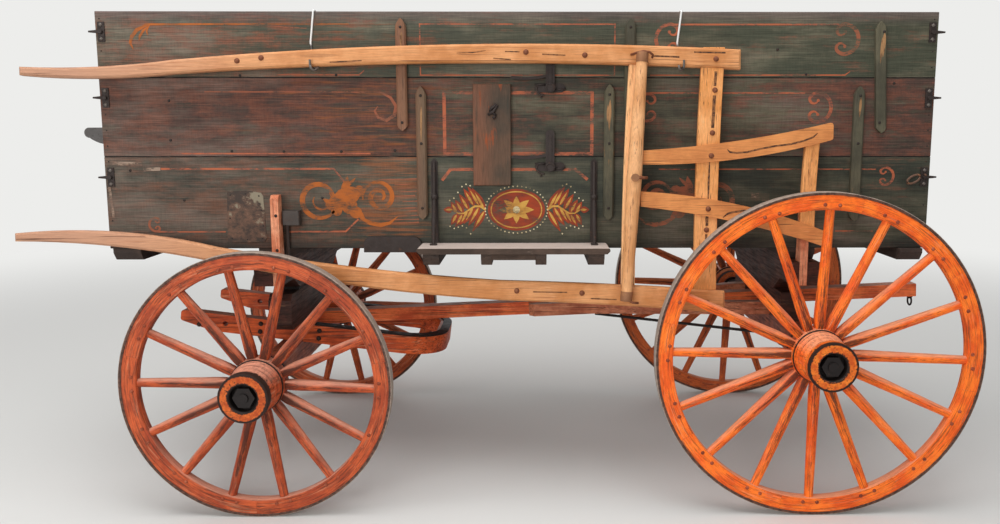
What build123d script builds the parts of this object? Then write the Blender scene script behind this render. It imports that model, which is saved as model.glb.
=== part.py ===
from build123d import *
from math import atan2, cos, degrees, radians, sin, tan
import os

# A wooden farm box wagon with a triple box, spoked wheels, a turning front gear under a
# bolster, and its single-horse shafts hung on the near side. Millimetres.
# While it is modelled, X runs from the front axle towards the rear, the near side is at
# minus Y and Z is up from the ground. At the end all pieces move along X, so that the
# origin lies under the middle of the whole length.

# Driving dimensions: wheels
wheel_base = 2093.0
track = 1524.0
front_wheel_d = 1008.0
rear_wheel_d = 1226.0
front_spoke_count = 14
rear_spoke_count = 16
front_spoke_phase = 14.56
rear_spoke_phase = 1.74
tyre_w = 50.0
tyre_t = 11.0
felloe_depth = 55.0
felloe_w = 46.0
felloe_joint = 0.6
felloe_ease = 6.0
spoke_foot_w = 44.0
spoke_foot_t = 32.0
spoke_blade_w = 50.0
spoke_blade_t = 46.0
spoke_waist_d = 38.0
spoke_rim_d = 33.0
spoke_tenon = 8.0
wheel_dish = 28.0
tenon_gap = 0.1
hub_r = 102.0
hub_nose_r = 90.5
hub_heel_r = 82.0
hub_outer_l = 163.0
hub_inner_l = 122.0
hub_spoke_zone = 74.0
hub_band_l = 38.0
hub_band_t = 3.0
hub_shoulder = 4.0
hub_recess_r = 49.0
hub_recess_l = 36.0
hub_recess_flare = 5.0
spindle_r = 32.0
spindle_gap = 0.08
nut_af = 70.0
nut_l = 26.0
nut_boss_r = 17.0
nut_boss_l = 8.0
nut_gap = 0.3
collar_gap = 0.3
collar_l = 12.0
collar_t = 10.0

# Driving dimensions: front and rear gear
axle_w = 92.0
axle_h = 98.0
axle_bevel = 22.0
skein_r = 46.0
skein_sleeve_l = 80.0
hound_h = 76.0
hound_w = 52.0
hound_spread = 240.0
hound_front = 475.0
hound_rear = 650.0
hound_bend_r = 190.0
hound_slope = 7.1
hound_nose_r = 12.0
hound_nose_h = 44.0
hound_nose_l = 140.0
hound_bow_l = 240.0
hound_iron_t = 7.0
hound_iron_inset = 7.0
draft_hole_r = 11.0
draft_hole_back = 190.0
sand_board_h = 148.0
sand_board_w = 92.0
sand_board_half = 430.0
sand_board_bevel = 24.0
sand_board_lift = 4.0
reach_w = 66.0
reach_h = 58.0
reach_slope = 2.6
reach_rear = 676.0
reach_air = 6.0
plate_t = 6.0
plate_w = 90.0
plate_half = 300.0
plate_gap = 0.3
bolster_w = 106.0
bolster_end_h = 92.0
bolster_shoulder = 400.0
rear_hound_h = 56.0
rear_hound_w = 46.0
rear_hound_spread = 222.0
rear_hound_front = 1010.0
rear_hound_clamp = 300.0
rear_hound_overhang = 95.0
riser_h = 66.0
king_bolt_r = 11.0
king_bolt_gap = 0.08
king_nut_r = 18.0
king_nut_h = 22.0
king_bolt_end = 30.0
stake_w = 32.0
stake_d = 60.0
stake_air = 5.0
stake_rise = 214.0
stake_taper = 14.0
front_stake_x = 36.0
rear_stake_x = -12.0
brace_rod_r = 6.0
brace_rod_drop = 1.7
ring_r = 20.0
ring_wire_r = 4.0
eye_r = 11.0
eye_wire_r = 3.5
ring_set_back = 14.0

# Driving dimensions: box
box_l = 3210.0
box_front = -631.0
box_half = 508.0
box_z = 984.0
board_t = 25.0
lower_h = 359.0
upper_h = 302.0
top_h = 247.0
board_edge = 3.0
floor_t = 22.0
floor_planks = 7
floor_seam = 2.0
sill_h = 48.0
sill_w = 62.0
sill_reach = 18.0
sill_nose_h = 16.0
sill_cut = 24.0
gate_t = 24.0
gate_inset = 70.0
gate_gap = 5.0
batten_w = 44.0
batten_t = 18.0
batten_y = 270.0
gate_cleat_t = 22.0
gate_cleat_w = 34.0
gate_cleat_drop = 6.0
cleat_w = 40.0
cleat_t = 22.0
cleat_edge = 6.0
cleat_tip = 32.0
cleat_arch = 0.64
seat_gap = 0.3

# Driving dimensions: box fittings
step_l = 727.0
step_x = 592.0
step_t = 22.0
step_out = 172.0
step_round = 7.0
step_bevel = 11.0
step_sill_inset = 50.0
step_sill_back = 30.0
mid_sill_w = 42.0
mid_sill_spread = 207.0
step_batten_w = 34.0
step_batten_h = 26.0
brace_inset = 53.0
strap_w = 26.0
strap_t = 6.0
strap_drop = 6.0
stay_r = 6.5
stay_belly_r = 10.0
stay_out = 70.0
stay_knob_r = 13.0
stay_knob_z = 203.0
stay_pad_h = 60.0
rub_l = 224.0
rub_gap = 2.0
rub_h = 62.0
rub_t = 16.0
rub_round = 30.0
rub_drop = 14.0
plank_offset = 206.0
plank_w = 146.0
plank_low = 111.0
plank_high = 277.0
plank_t = 20.0
end_rod_r = 6.0
end_rod_inset = 22.0
rod_gap = 0.1
rod_plate_w = 26.0
rod_plate_h = 74.0
rod_plate_t = 5.0
wing_l = 44.0
wing_h = 15.0
wing_t = 9.0
latch_offset = 503.0
latch_bar_w = 34.0
latch_bar_t = 12.0
latch_rib_w = 12.0
latch_rib_t = 4.0
latch_rise = 103.0
latch_drop = 24.0
boss_drop = 39.0
boss_r = 19.0
boss_l = 22.0
latch_plate_l = 116.0
latch_plate_h = 34.0
latch_plate_t = 7.0
lever_l = 128.0
lever_h = 11.0
lever_bow = 9.0
foot_rest_out = 95.0
foot_rest_half = 460.0
foot_rest_h = 66.0
foot_rest_nose = 20.0
foot_rest_z = 112.0
foot_arm_h = 26.0
foot_arm_w = 30.0
foot_arm_y = 345.0
clip_l = 66.0
clip_h = 56.0
clip_t = 40.0
clip_z = 96.0
clip_rod_r = 7.0

# Driving dimensions: shafts hung on the near side
rail_t = 44.0
rail_edge = 8.0
bar_t = 28.0
arm_end_r = 11.0
shaft_air = 27.0
shaft_foot_air = 86.0
shaft_drop = 182.0
shaft_foot_drop = 1057.0
hook_rod_r = 4.0
hook_front_x = 190.0
hook_rear_x = 1587.0
hook_lip = 30.0
hook_inside = 60.0
hook_air = 12.0
hook_sway = 7.0
hook_bend = 118.0
hook_bend_r = 7.0
tree_r = 29.0
tree_end_r = 20.0
tree_top_drop = 164.0
tree_foot_drop = 1092.0
ferrule_l = 34.0
ferrule_t = 2.5
tree_bolt_r = 8.0
tree_bolt_head_r = 15.0

# Shaft rails, front to rear: x, height of the middle below the box's top edge, depth
TOP_RAIL = (
    (-894, -228, 32),
    (-640, -234, 42),
    (-320, -212, 52),
    (700, -163, 68),
    (1811, -184, 74),
)
LOW_RAIL = (
    (-936, -852, 31),
    (-690, -851, 50),
    (-177, -920, 58),
    (289, -996, 70),
    (901, -1057, 76),
    (1356, -1076, 80),
    (1764, -1104, 87),
)
# Shaft cross bars: x at the top, the middle and the foot, width, top and foot below the box's top
SHAFT_BARS = (
    (1417, 1399, 1392, 52, -200, -1039),
    (1710, 1692, 1688, 86, -138, -1057),
    (2094, 2081, 2076, 54, -464, -862),
)
# Shaft arms: x and height below the box's top of the front end, middle and rear end, and the depths
HIGH_ARM = ((1437, -551, 52), (1851, -516, 70), (2165, -451, 66))
LOW_ARM = ((1438, -708, 57), (1733, -748, 68), (2146, -862, 58))

# Heights of the cross rods above the low edge of the lower, upper and top board
ROD_RISES = (280, 225, 170)
# Cleats over the top seam: x from the box's front, the step's rear end and the box's rear, then
# how far the low end reaches under the seam, the high end's drop below the box's top, and slant
TOP_CLEATS = (
    (1158, 203, 26, 0.0),
    (81, 203, 26, 0.0),
    (-215, 211, 36, -3.0),
)
# Cleats over the lower seam: x from the step's front end, its rear end and the box's rear, then
# the low end's rise above the box's foot, the high end's drop below the top seam, and slant
LOW_CLEATS = (
    (7, 116, 33, 0.0),
    (4, 114, 25, 0.0),
    (-293, 108, 33, 0.0),
)

# Derived places
front_axle_z = front_wheel_d / 2
rear_axle_z = rear_wheel_d / 2
box_rear = box_front + box_l
upper_z = box_z + lower_h
top_z = upper_z + upper_h
box_top = top_z + top_h
floor_top = box_z + floor_t
sill_z = box_z - sill_h
inner_half = box_half - board_t
bolster_half = box_half + stake_air + stake_d
stake_top = box_z + stake_rise
wheel_y = track / 2
axle_wood_half = wheel_y - hub_inner_l - collar_gap - skein_sleeve_l
hound_z = front_axle_z + axle_h / 2 + hound_h / 2
sand_board_z = hound_z + hound_h / 2 + sand_board_lift
sand_board_top = sand_board_z + sand_board_h
front_bolster_z = sand_board_top + 2 * plate_t + plate_gap
reach_z = sand_board_z - reach_air - reach_h / 2
reach_rise = tan(radians(reach_slope))
reach_front_x = -axle_w / 2
reach_rear_x = wheel_base + reach_rear
rear_hound_z = rear_axle_z + axle_h / 2 + rear_hound_h / 2
rear_bolster_z = rear_hound_z + rear_hound_h / 2 + riser_h
step_rear = step_x + step_l
step_mid = step_x + step_l / 2
shaft_top_y = box_half + shaft_air + rail_t / 2
shaft_foot_y = box_half + shaft_foot_air + rail_t / 2
shaft_lean = degrees(atan2(shaft_foot_y - shaft_top_y, shaft_foot_drop - shaft_drop))
shaft_tip_x = LOW_RAIL[0][0]

# Cross rods outside each gate: the direction of the near box end, x and height
END_RODS = [
    (end, x, board_z + rise)
    for end, x in ((-1, box_front + end_rod_inset), (1, box_rear - end_rod_inset))
    for board_z, rise in zip((box_z, upper_z, top_z), ROD_RISES)
]
# Cleats: x, low end and high end, and slant in degrees
CLEATS = [
    *((from_x + set_x, top_z - reach, box_top - drop, slant)
      for from_x, (set_x, reach, drop, slant) in zip((box_front, step_rear, box_rear), TOP_CLEATS)),
    *((from_x + set_x, box_z + rise, top_z - drop, slant)
      for from_x, (set_x, rise, drop, slant) in zip((step_x, step_rear, box_rear), LOW_CLEATS)),
]


# Shapes used by several pieces

def block(x0, x1, y0, y1, z0, z1):
    """A box between two corners."""
    size = Box(x1 - x0, y1 - y0, z1 - z0)
    return Pos((x0 + x1) / 2, (y0 + y1) / 2, (z0 + z1) / 2) * size


def rod(start, end, radius):
    """A round bar between two points."""
    low = (Align.CENTER, Align.CENTER, Align.MIN)
    a = Vector(*start)
    b = Vector(*end)
    return Plane(origin=a, z_dir=b - a) * Cylinder(radius, (b - a).length, align=low)


def cone(start, end, start_r, end_r):
    """A round bar between two points that tapers."""
    low = (Align.CENTER, Align.CENTER, Align.MIN)
    a = Vector(*start)
    b = Vector(*end)
    return Plane(origin=a, z_dir=b - a) * Cone(start_r, end_r, (b - a).length, align=low)


def bent_rod(points, radius, bend):
    """A round bar bent at each point on the way."""
    path = FilletPolyline(*points, radius=bend)
    start = Plane(origin=path @ 0, z_dir=path % 0)
    return sweep(start * Circle(radius), path)


def side_plate(outline, y0, y1):
    """A flat piece whose outline lies in X and Z, from y0 to y1."""
    face = make_face(Plane.XZ.offset(-y0) * outline)
    return extrude(face, amount=y1 - y0, dir=(0, 1, 0))


def cross_plate(outline, width):
    """A piece whose outline lies in Y and Z, as wide as given along X, about X = 0."""
    face = make_face(Plane.YZ.offset(-width / 2) * outline)
    return extrude(face, amount=width, dir=(1, 0, 0))


def long_edges(shape):
    """The edges round both flat sides of a side plate."""
    sides = shape.faces().filter_by(Axis.Y).sort_by(Axis.Y)
    return sides[0].edges() + sides[-1].edges()


def both_sides(shape):
    """The near piece and its mirror on the far side."""
    return [shape, mirror(shape, about=Plane.XZ)]


def less(shape, others):
    """The piece with its neighbours cut out of it."""
    for other in others:
        shape -= other
    return shape


def pieces(*shapes):
    """Solids that share a node."""
    solids = []
    for shape in shapes:
        for item in shape if isinstance(shape, (list, tuple)) else [shape]:
            solids.extend(item.solids())
    return Compound(children=solids) if len(solids) > 1 else solids[0]


# Wheels: each is made about the origin with its outer side at plus Y

def hub(bore_r):
    """A turned wooden hub: swelled round the spokes, banded at both ends, hollow at the nose."""
    zone_in = -wheel_dish - hub_spoke_zone / 2
    zone_out = -wheel_dish + hub_spoke_zone / 2
    nose_in = hub_outer_l - hub_band_l
    heel_out = -hub_inner_l + hub_band_l
    recess_y = hub_outer_l - hub_recess_l
    swell_r = hub_r - hub_shoulder
    barrel_in = ThreePointArc(
        (hub_heel_r, heel_out),
        (swell_r - hub_shoulder, (heel_out + zone_in) / 2),
        (swell_r, zone_in),
    )
    barrel_out = ThreePointArc(
        (swell_r, zone_out),
        ((swell_r + hub_nose_r) / 2, (zone_out + nose_in) / 2 - hub_shoulder),
        (hub_nose_r - hub_band_t, nose_in),
    )
    outline = [
        Polyline((bore_r, -hub_inner_l), (hub_heel_r, -hub_inner_l), (hub_heel_r, heel_out)),
        barrel_in,
        ThreePointArc((swell_r, zone_in), (hub_r, -wheel_dish), (swell_r, zone_out)),
        barrel_out,
        Polyline((hub_nose_r - hub_band_t, nose_in), (hub_nose_r, nose_in),
                 (hub_nose_r, hub_outer_l - hub_band_t), (hub_nose_r - hub_band_t, hub_outer_l),
                 (hub_recess_r + hub_recess_flare, hub_outer_l), (hub_recess_r, recess_y),
                 (bore_r, recess_y), (bore_r, -hub_inner_l)),
    ]
    return revolve(make_face(Plane.XY * Wire([e for part in outline for e in part.edges()])), Axis.Y)


def spokes(wheel_r, turns):
    """Spokes with a shouldered foot, a deep blade and a round end, leaning out with the dish."""
    inner_r = wheel_r - tyre_t - felloe_depth
    start = hub_r - hub_shoulder
    end = inner_r + spoke_tenon
    # Sections: share of the length, thickness along the rim, width along the axle
    sections = (
        (0.0, spoke_foot_t, spoke_foot_w),
        (0.14, spoke_blade_t, spoke_blade_w),
        (0.6, spoke_waist_d, spoke_waist_d),
        (1.0, spoke_rim_d, spoke_rim_d),
    )
    faces = []
    for share, thick, wide in sections:
        at = Plane(origin=(0, -wheel_dish * (1 - share), start + (end - start) * share), z_dir=(0, 0, 1))
        faces.append(at * Ellipse(thick / 2, wide / 2))
    one = loft(faces, ruled=True)
    turn = Rot(90, 0, 0)
    room = turn * Cylinder(inner_r - tenon_gap, track) - turn * Cylinder(hub_r + tenon_gap, track)
    one = one & room
    return [Rot(0, turn, 0) * one for turn in turns]


def ring(outer_r, depth, width):
    """A plain ring about Y."""
    shape = Cylinder(outer_r, width) - Cylinder(outer_r - depth, width)
    return Rot(90, 0, 0) * shape


def felloes(wheel_r, joints):
    """Wooden rim segments, two spokes to each, with eased inner edges and open joints."""
    outer_r = wheel_r - tyre_t
    whole = ring(outer_r, felloe_depth, felloe_w)
    bore = whole.faces().filter_by(GeomType.CYLINDER).sort_by(SortBy.AREA)[0]
    whole = chamfer(bore.edges().filter_by(GeomType.CIRCLE), felloe_ease)
    slit = block(-felloe_joint / 2, felloe_joint / 2, -felloe_w, felloe_w, 0, wheel_r)
    return less(whole, [Rot(0, turn, 0) * slit for turn in joints]).solids()


def place_wheel(shape, x, side, wheel_r):
    """A wheel piece on its axle, its outer side turned outwards."""
    turned = Rot(0, 0, 180) * shape if side < 0 else shape
    return Pos(x, side * wheel_y, wheel_r) * turned


def wheel_nodes(name, x, side, diameter, count, phase):
    """Hub, spokes, felloe and tyre of one wheel."""
    radius = diameter / 2
    step = 360 / count
    turns = [side * (phase + step * n) for n in range(count)]
    joints = [turn + side * step / 2 for turn in turns[::2]]
    parts = {
        "hub": [hub(spindle_r + spindle_gap)],
        "spokes": spokes(radius, turns),
        "felloe": felloes(radius, joints),
        "tyre": [ring(radius, tyre_t, tyre_w)],
    }
    return {
        f"{name}_{key}": pieces([place_wheel(s, x, side, radius) for s in shapes])
        for key, shapes in parts.items()
    }


def skein(x, side, axle_z):
    """Iron axle end: sleeve over the wood, collar, spindle and the nut on its end."""
    heel = hub_inner_l + collar_gap
    face = hub_outer_l - hub_recess_l + nut_gap
    turn = Rot(-90, 0, 0)
    low = (Align.CENTER, Align.CENTER, Align.MIN)
    shape = Pos(0, -heel - skein_sleeve_l, 0) * turn * Cylinder(skein_r, skein_sleeve_l, align=low)
    shape += Pos(0, -heel - collar_l, 0) * turn * Cylinder(skein_r + collar_t, collar_l, align=low)
    shape += Pos(0, -heel, 0) * turn * Cylinder(spindle_r, heel + face + nut_l, align=low)
    nut = extrude(RegularPolygon(nut_af / 2, 6, major_radius=False), nut_l)
    shape += Pos(0, face, 0) * turn * nut
    shape += Pos(0, face + nut_l, 0) * turn * Cylinder(nut_boss_r, nut_boss_l, align=low)
    turned = Rot(0, 0, 180) * shape if side < 0 else shape
    return Pos(x, side * wheel_y, axle_z) * turned


# Gear timbers

def axle_beam(x, axle_z):
    """A wooden axle with its edges bevelled towards the ends."""
    outline = Polyline(
        (-axle_wood_half, -axle_h / 2 + axle_bevel),
        (-bolster_shoulder, -axle_h / 2),
        (bolster_shoulder, -axle_h / 2),
        (axle_wood_half, -axle_h / 2 + axle_bevel),
        (axle_wood_half, axle_h / 2 - axle_bevel / 2),
        (bolster_shoulder, axle_h / 2),
        (-bolster_shoulder, axle_h / 2),
        (-axle_wood_half, axle_h / 2 - axle_bevel / 2),
        close=True,
    )
    return Pos(x, 0, axle_z) * cross_plate(outline, axle_w)


def bolster(x, low_z):
    """A bolster, deep in the middle and shallow at its ends, where the stakes stand."""
    deep = sill_z - low_z
    foot_half = plate_half + board_edge
    outline = Polyline(
        (-bolster_half, deep),
        (-bolster_half, deep - bolster_end_h),
        (-bolster_shoulder, deep - bolster_end_h),
        (-foot_half, 0),
        (foot_half, 0),
        (bolster_shoulder, deep - bolster_end_h),
        (bolster_half, deep - bolster_end_h),
        (bolster_half, deep),
        close=True,
    )
    return Pos(x, 0, low_z) * cross_plate(outline, bolster_w)


def stake(x):
    """A stake at a bolster's near end, its top tapered on both faces."""
    base = sill_z - bolster_end_h
    y_out = -bolster_half
    y_in = y_out + stake_d
    outline = Polyline(
        (y_out, base),
        (y_in, base),
        (y_in, sill_z),
        (y_in - stake_taper, stake_top),
        (y_out + stake_taper, stake_top),
        (y_out, stake_top - stake_taper),
        close=True,
    )
    return Pos(x, 0, 0) * cross_plate(outline, stake_w)


def bow_outline(half, rear, bend):
    """A U as a closed face: open end at X = 0, round corners at the rear."""
    return make_face(Polyline((0, -half), (rear - bend, -half))
                     + RadiusArc((rear - bend, -half), (rear, -half + bend), -bend)
                     + Line((rear, -half + bend), (rear, half - bend))
                     + RadiusArc((rear, half - bend), (rear - bend, half), -bend)
                     + Polyline((rear - bend, half), (0, half), (0, -half)))


def bow_strip(width, height, length):
    """A bar bent to a U that ends at the hounds' rear: two arms joined by round corners."""
    outside = bow_outline(hound_spread + width / 2, length, hound_bend_r)
    inside = bow_outline(hound_spread - width / 2, length - width, hound_bend_r - width)
    return Pos(hound_rear - length, 0, 0) * extrude(outside - inside, amount=height, dir=(0, 0, 1))


def on_hound_plane(shape, lift):
    """Tips a flat bow to the slope of the hounds, its middle height over the axle."""
    return Pos(0, 0, hound_z) * Rot(0, hound_slope, 0) * Pos(0, 0, lift) * shape


def front_hounds():
    """Two straight hounds, cut up at the front and bored for the draft bolts, and the bow that joins them."""
    scarf_x = hound_rear - hound_bow_l
    outline = Polyline(
        (-hound_front, hound_h - hound_nose_h),
        (hound_nose_l - hound_front, 0),
        (scarf_x, 0),
        (scarf_x, hound_h),
        (-hound_front, hound_h),
        close=True,
    )
    arm = side_plate(outline, -hound_spread - hound_w / 2, -hound_spread + hound_w / 2)
    arm = fillet(arm.faces().sort_by(Axis.X)[0].edges().filter_by(Axis.Y), hound_nose_r)
    hole_x = draft_hole_back - hound_front
    arm -= rod((hole_x, -hound_spread - hound_w, hound_h / 2), (hole_x, 0, hound_h / 2), draft_hole_r)
    solids = [*both_sides(arm), bow_strip(hound_w, hound_h, hound_bow_l)]
    return [on_hound_plane(solid, -hound_h / 2) for solid in solids]


def reach():
    """The long pole that joins both gears, rising to the rear."""
    length = (reach_rear_x - reach_front_x) / cos(radians(reach_slope))
    bar = block(0, length, -reach_w / 2, reach_w / 2, -reach_h / 2, reach_h / 2)
    return Pos(reach_front_x, 0, reach_mid_z(reach_front_x)) * Rot(0, -reach_slope, 0) * bar


def reach_mid_z(x):
    """Height of the reach's middle at x."""
    return reach_z + x * reach_rise


def rear_hound():
    """The near rear hound: beside the reach in front, spread at the rear axle."""
    near = reach_w / 2 + seat_gap
    end_x = wheel_base + rear_hound_overhang
    bend_x = rear_hound_front + rear_hound_clamp
    outline = Polyline(
        (rear_hound_front, -near),
        (bend_x, -near),
        (wheel_base - axle_w, -rear_hound_spread + rear_hound_w / 2),
        (end_x, -rear_hound_spread + rear_hound_w / 2),
        (end_x, -rear_hound_spread - rear_hound_w / 2),
        (wheel_base - axle_w, -rear_hound_spread - rear_hound_w / 2),
        (bend_x, -near - rear_hound_w),
        (rear_hound_front + rear_hound_w / 2, -near - rear_hound_w),
        (rear_hound_front, -near - rear_hound_w / 2),
        close=True,
    )
    flat = extrude(make_face(outline), amount=rear_hound_h, dir=(0, 0, 1))
    flat = Pos(-wheel_base, 0, -rear_hound_h / 2) * flat
    return Pos(wheel_base, 0, rear_hound_z) * Rot(0, -reach_slope, 0) * flat


def ring_and_eye(long_reach):
    """The eye under the reach's rear end and the loose ring that hangs in it."""
    x = reach_rear_x - ring_set_back
    eye_z = reach_mid_z(x) - reach_h / 2 - eye_wire_r / 2
    eye = Pos(x, 0, eye_z) * Rot(90, 0, 0) * Torus(eye_r, eye_wire_r) - long_reach
    top_wire_z = eye_z - (eye_r - eye_wire_r - ring_wire_r - seat_gap)
    hung = Pos(x, 0, top_wire_z - ring_r) * Rot(0, 90, 0) * Torus(ring_r, ring_wire_r)
    return eye, hung


def gear_brace():
    """A thin iron stay from under the near rear hound to the axle's near end."""
    start_x = rear_hound_front + rear_hound_clamp
    hound_low = rear_hound_z - rear_hound_h / 2 - (wheel_base - start_x) * reach_rise
    start = (start_x, -reach_w / 2 - rear_hound_w / 2, hound_low - brace_rod_r + brace_rod_drop)
    end = (wheel_base - axle_w / 2 + brace_rod_r, -bolster_shoulder - axle_bevel, rear_axle_z)
    return rod(start, end, brace_rod_r)


def fifth_plate(low):
    """One of the two iron plates on which the front gear turns."""
    return block(-plate_w / 2, plate_w / 2, -plate_half, plate_half, low, low + plate_t)


def front_gear_nodes(king_hole):
    """What turns with the front wheels, apart from the wheels."""
    hounds = front_hounds()
    board = block(-sand_board_w / 2, sand_board_w / 2, -sand_board_half, sand_board_half,
                  sand_board_z, sand_board_top)
    board = chamfer(board.edges().filter_by(Axis.X), sand_board_bevel)
    iron_l = hound_rear - axle_w
    iron = on_hound_plane(bow_strip(hound_w - 2 * hound_iron_inset, hound_iron_t, iron_l), hound_h / 2)
    return {
        "front_axle": pieces(less(axle_beam(0, front_axle_z), [*hounds, king_hole])),
        "sand_board": pieces(less(board, [*hounds, king_hole])),
        "front_hounds": pieces(hounds),
        "front_irons": pieces(fifth_plate(sand_board_top) - king_hole, iron),
        "front_skeins": pieces([skein(0, s, front_axle_z) for s in (-1, 1)]),
    }


def rear_gear_nodes(long_reach):
    """The rear axle and what joins it to the reach and the box."""
    hounds = both_sides(rear_hound())
    beam = axle_beam(wheel_base, rear_axle_z)
    riser = block(wheel_base - axle_w / 2, wheel_base + axle_w / 2, -bolster_shoulder,
                  bolster_shoulder, rear_bolster_z - riser_h - rear_hound_h, rear_bolster_z)
    return {
        "rear_skeins": pieces([skein(wheel_base, s, rear_axle_z) for s in (-1, 1)]),
        "rear_axle": pieces(less(beam, [long_reach, *hounds])),
        "rear_hounds": pieces(hounds),
        "rear_riser": pieces(less(riser, [long_reach, *hounds, beam])),
        "gear_braces": pieces(both_sides(less(gear_brace(), [hounds[0], beam]))),
    }


def bolster_nodes(bolt_hole):
    """Both bolsters, their plates and stakes."""
    stakes = [*both_sides(stake(front_stake_x)), *both_sides(stake(wheel_base + rear_stake_x))]
    beams = [bolster(0, front_bolster_z) - bolt_hole, bolster(wheel_base, rear_bolster_z)]
    return {
        "bolsters": pieces([less(b, stakes) - fifth_plate(front_bolster_z - plate_t) for b in beams]),
        "bolster_irons": pieces(fifth_plate(front_bolster_z - plate_t) - bolt_hole),
        "stakes": pieces(stakes),
    }


def gear_nodes():
    """All timbers and irons between the wheels and the box."""
    foot = front_axle_z - axle_h / 2
    king = rod((0, 0, foot - king_bolt_end), (0, 0, sill_z), king_bolt_r)
    nut = Pos(0, 0, foot - king_nut_h - 2 * plate_gap) * extrude(RegularPolygon(king_nut_r, 6), king_nut_h)
    king_hole = rod((0, 0, foot - axle_h), (0, 0, sill_z), king_bolt_r + king_bolt_gap)
    bolt_hole = rod((0, 0, foot), (0, 0, sill_z), king_bolt_r)
    long_reach = reach()
    eye, pull_ring = ring_and_eye(long_reach)
    return {
        **front_gear_nodes(king_hole),
        **rear_gear_nodes(long_reach),
        **bolster_nodes(bolt_hole),
        "king_bolt": pieces(king + nut),
        "reach": pieces(long_reach - bolt_hole),
        "pull_ring": pieces(eye, pull_ring),
    }


# Box

def side_board(low_z, height):
    """One near side board with eased edges and the holes of the cross rods."""
    board = block(box_front, box_rear, -box_half, -inner_half, low_z, low_z + height)
    board = chamfer(board.edges().filter_by(Axis.X), board_edge)
    holes = [rod((x, -box_half - board_t, z), (x, 0, z), end_rod_r + rod_gap) for _, x, z in END_RODS]
    return less(board, holes)


def floor_boards():
    """Planks that run the length of the box, with open seams."""
    width = 2 * inner_half / floor_planks
    return [
        block(box_front, box_rear, n * width - inner_half + floor_seam / 2,
              (n + 1) * width - inner_half - floor_seam / 2, box_z, floor_top)
        for n in range(floor_planks)
    ]


def cross_sills():
    """Timbers under the floor."""
    step_half = box_half + step_out - step_sill_back
    bolster_sill_half = box_half - sill_reach / 2
    # Columns: x of the middle, width, and half length
    table = (
        (box_front + sill_w, 108, box_half - board_edge),
        (0, bolster_w, bolster_sill_half),
        (step_x + step_sill_inset, sill_w, step_half),
        (step_mid - mid_sill_spread / 2, mid_sill_w, step_half),
        (step_mid + mid_sill_spread / 2, mid_sill_w, step_half),
        (step_rear - step_sill_inset, sill_w, step_half),
        (wheel_base, bolster_w, bolster_sill_half),
        (box_rear - sill_w, 92, box_half + sill_reach),
    )
    return [sill(*row) for row in table]


def sill(x, width, half):
    """One cross timber, cut under at both ends."""
    outline = Polyline(
        (-half, sill_h),
        (-half, sill_h - sill_nose_h),
        (-half + sill_cut, 0),
        (half - sill_cut, 0),
        (half, sill_h - sill_nose_h),
        (half, sill_h),
        close=True,
    )
    return Pos(x, 0, sill_z) * cross_plate(outline, width)


def gate(x, end, half):
    """Three stacked gate boards, each with two short battens on its outer face."""
    solids = []
    low = floor_top
    for height in (lower_h - floor_t, upper_h, top_h):
        high = low + height
        board = block(x - gate_t / 2, x + gate_t / 2, -half, half, low, high)
        face = x + end * gate_t / 2
        outer = face + end * batten_t
        for y in (-batten_y, batten_y):
            board += block(min(face, outer), max(face, outer), y - batten_w / 2, y + batten_w / 2,
                           low + board_t, high - board_t)
        solids.append(board)
        low = high
    return solids


def gate_cleats(x):
    """Upright strips on the near side boards that hold a gate."""
    shapes = []
    for side in (-1, 1):
        mid = x + side * (gate_t / 2 + gate_gap + gate_cleat_t / 2)
        shapes.append(block(mid - gate_cleat_t / 2, mid + gate_cleat_t / 2, -inner_half,
                            -inner_half + gate_cleat_w, floor_top, box_top - gate_cleat_drop))
    return shapes


def cleat(x, low, high, slant):
    """A pointed upright strip on the near side: a gothic tip above, a blunt one below."""
    half = cleat_w / 2
    tip = high - cleat_tip
    foot = low + cleat_tip * 2 / 3
    outline = Wire([
        Line((-half, foot), (-half, tip)),
        ThreePointArc((-half, tip), (-half * cleat_arch, high - cleat_tip / 2), (0, high)),
        ThreePointArc((0, high), (half * cleat_arch, high - cleat_tip / 2), (half, tip)),
        Line((half, tip), (half, foot)),
        ThreePointArc((half, foot), (half * cleat_arch, low + cleat_tip / 3), (0, low)),
        ThreePointArc((0, low), (-half * cleat_arch, low + cleat_tip / 3), (-half, foot)),
    ])
    strip = block(-half, half, -box_half - cleat_t, -box_half, low, high)
    strip = chamfer(strip.edges().filter_by(Axis.Z).group_by(Axis.Y)[0], cleat_edge)
    shape = strip & side_plate(outline, -box_half - cleat_t, -box_half)
    mid = (low + high) / 2
    return Pos(x, 0, mid) * Rot(0, slant, 0) * Pos(0, 0, -mid) * shape


def end_rod(end, x, z):
    """A cross rod at a box end, with a plate and a winged end on each side."""
    plate_y = box_half + rod_plate_t
    wing_y = plate_y + wing_t
    shape = rod((x, -plate_y, z), (x, plate_y, z), end_rod_r)
    for side in (-1, 1):
        shape += block(x - rod_plate_w / 2, x + rod_plate_w / 2, *sorted((side * box_half, side * plate_y)),
                       z - rod_plate_h / 2, z + rod_plate_h / 2)
        wing = Polyline((x, z - wing_h / 2), (x, z + wing_h / 2), (x + end * wing_l, z + wing_h / 5),
                        (x + end * wing_l, z - wing_h / 5), close=True)
        shape += side_plate(wing, *sorted((side * plate_y, side * wing_y)))
        shape += rod((x, side * plate_y, z), (x, side * (wing_y + wing_t / 3), z), wing_h / 2)
    return shape


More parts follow.
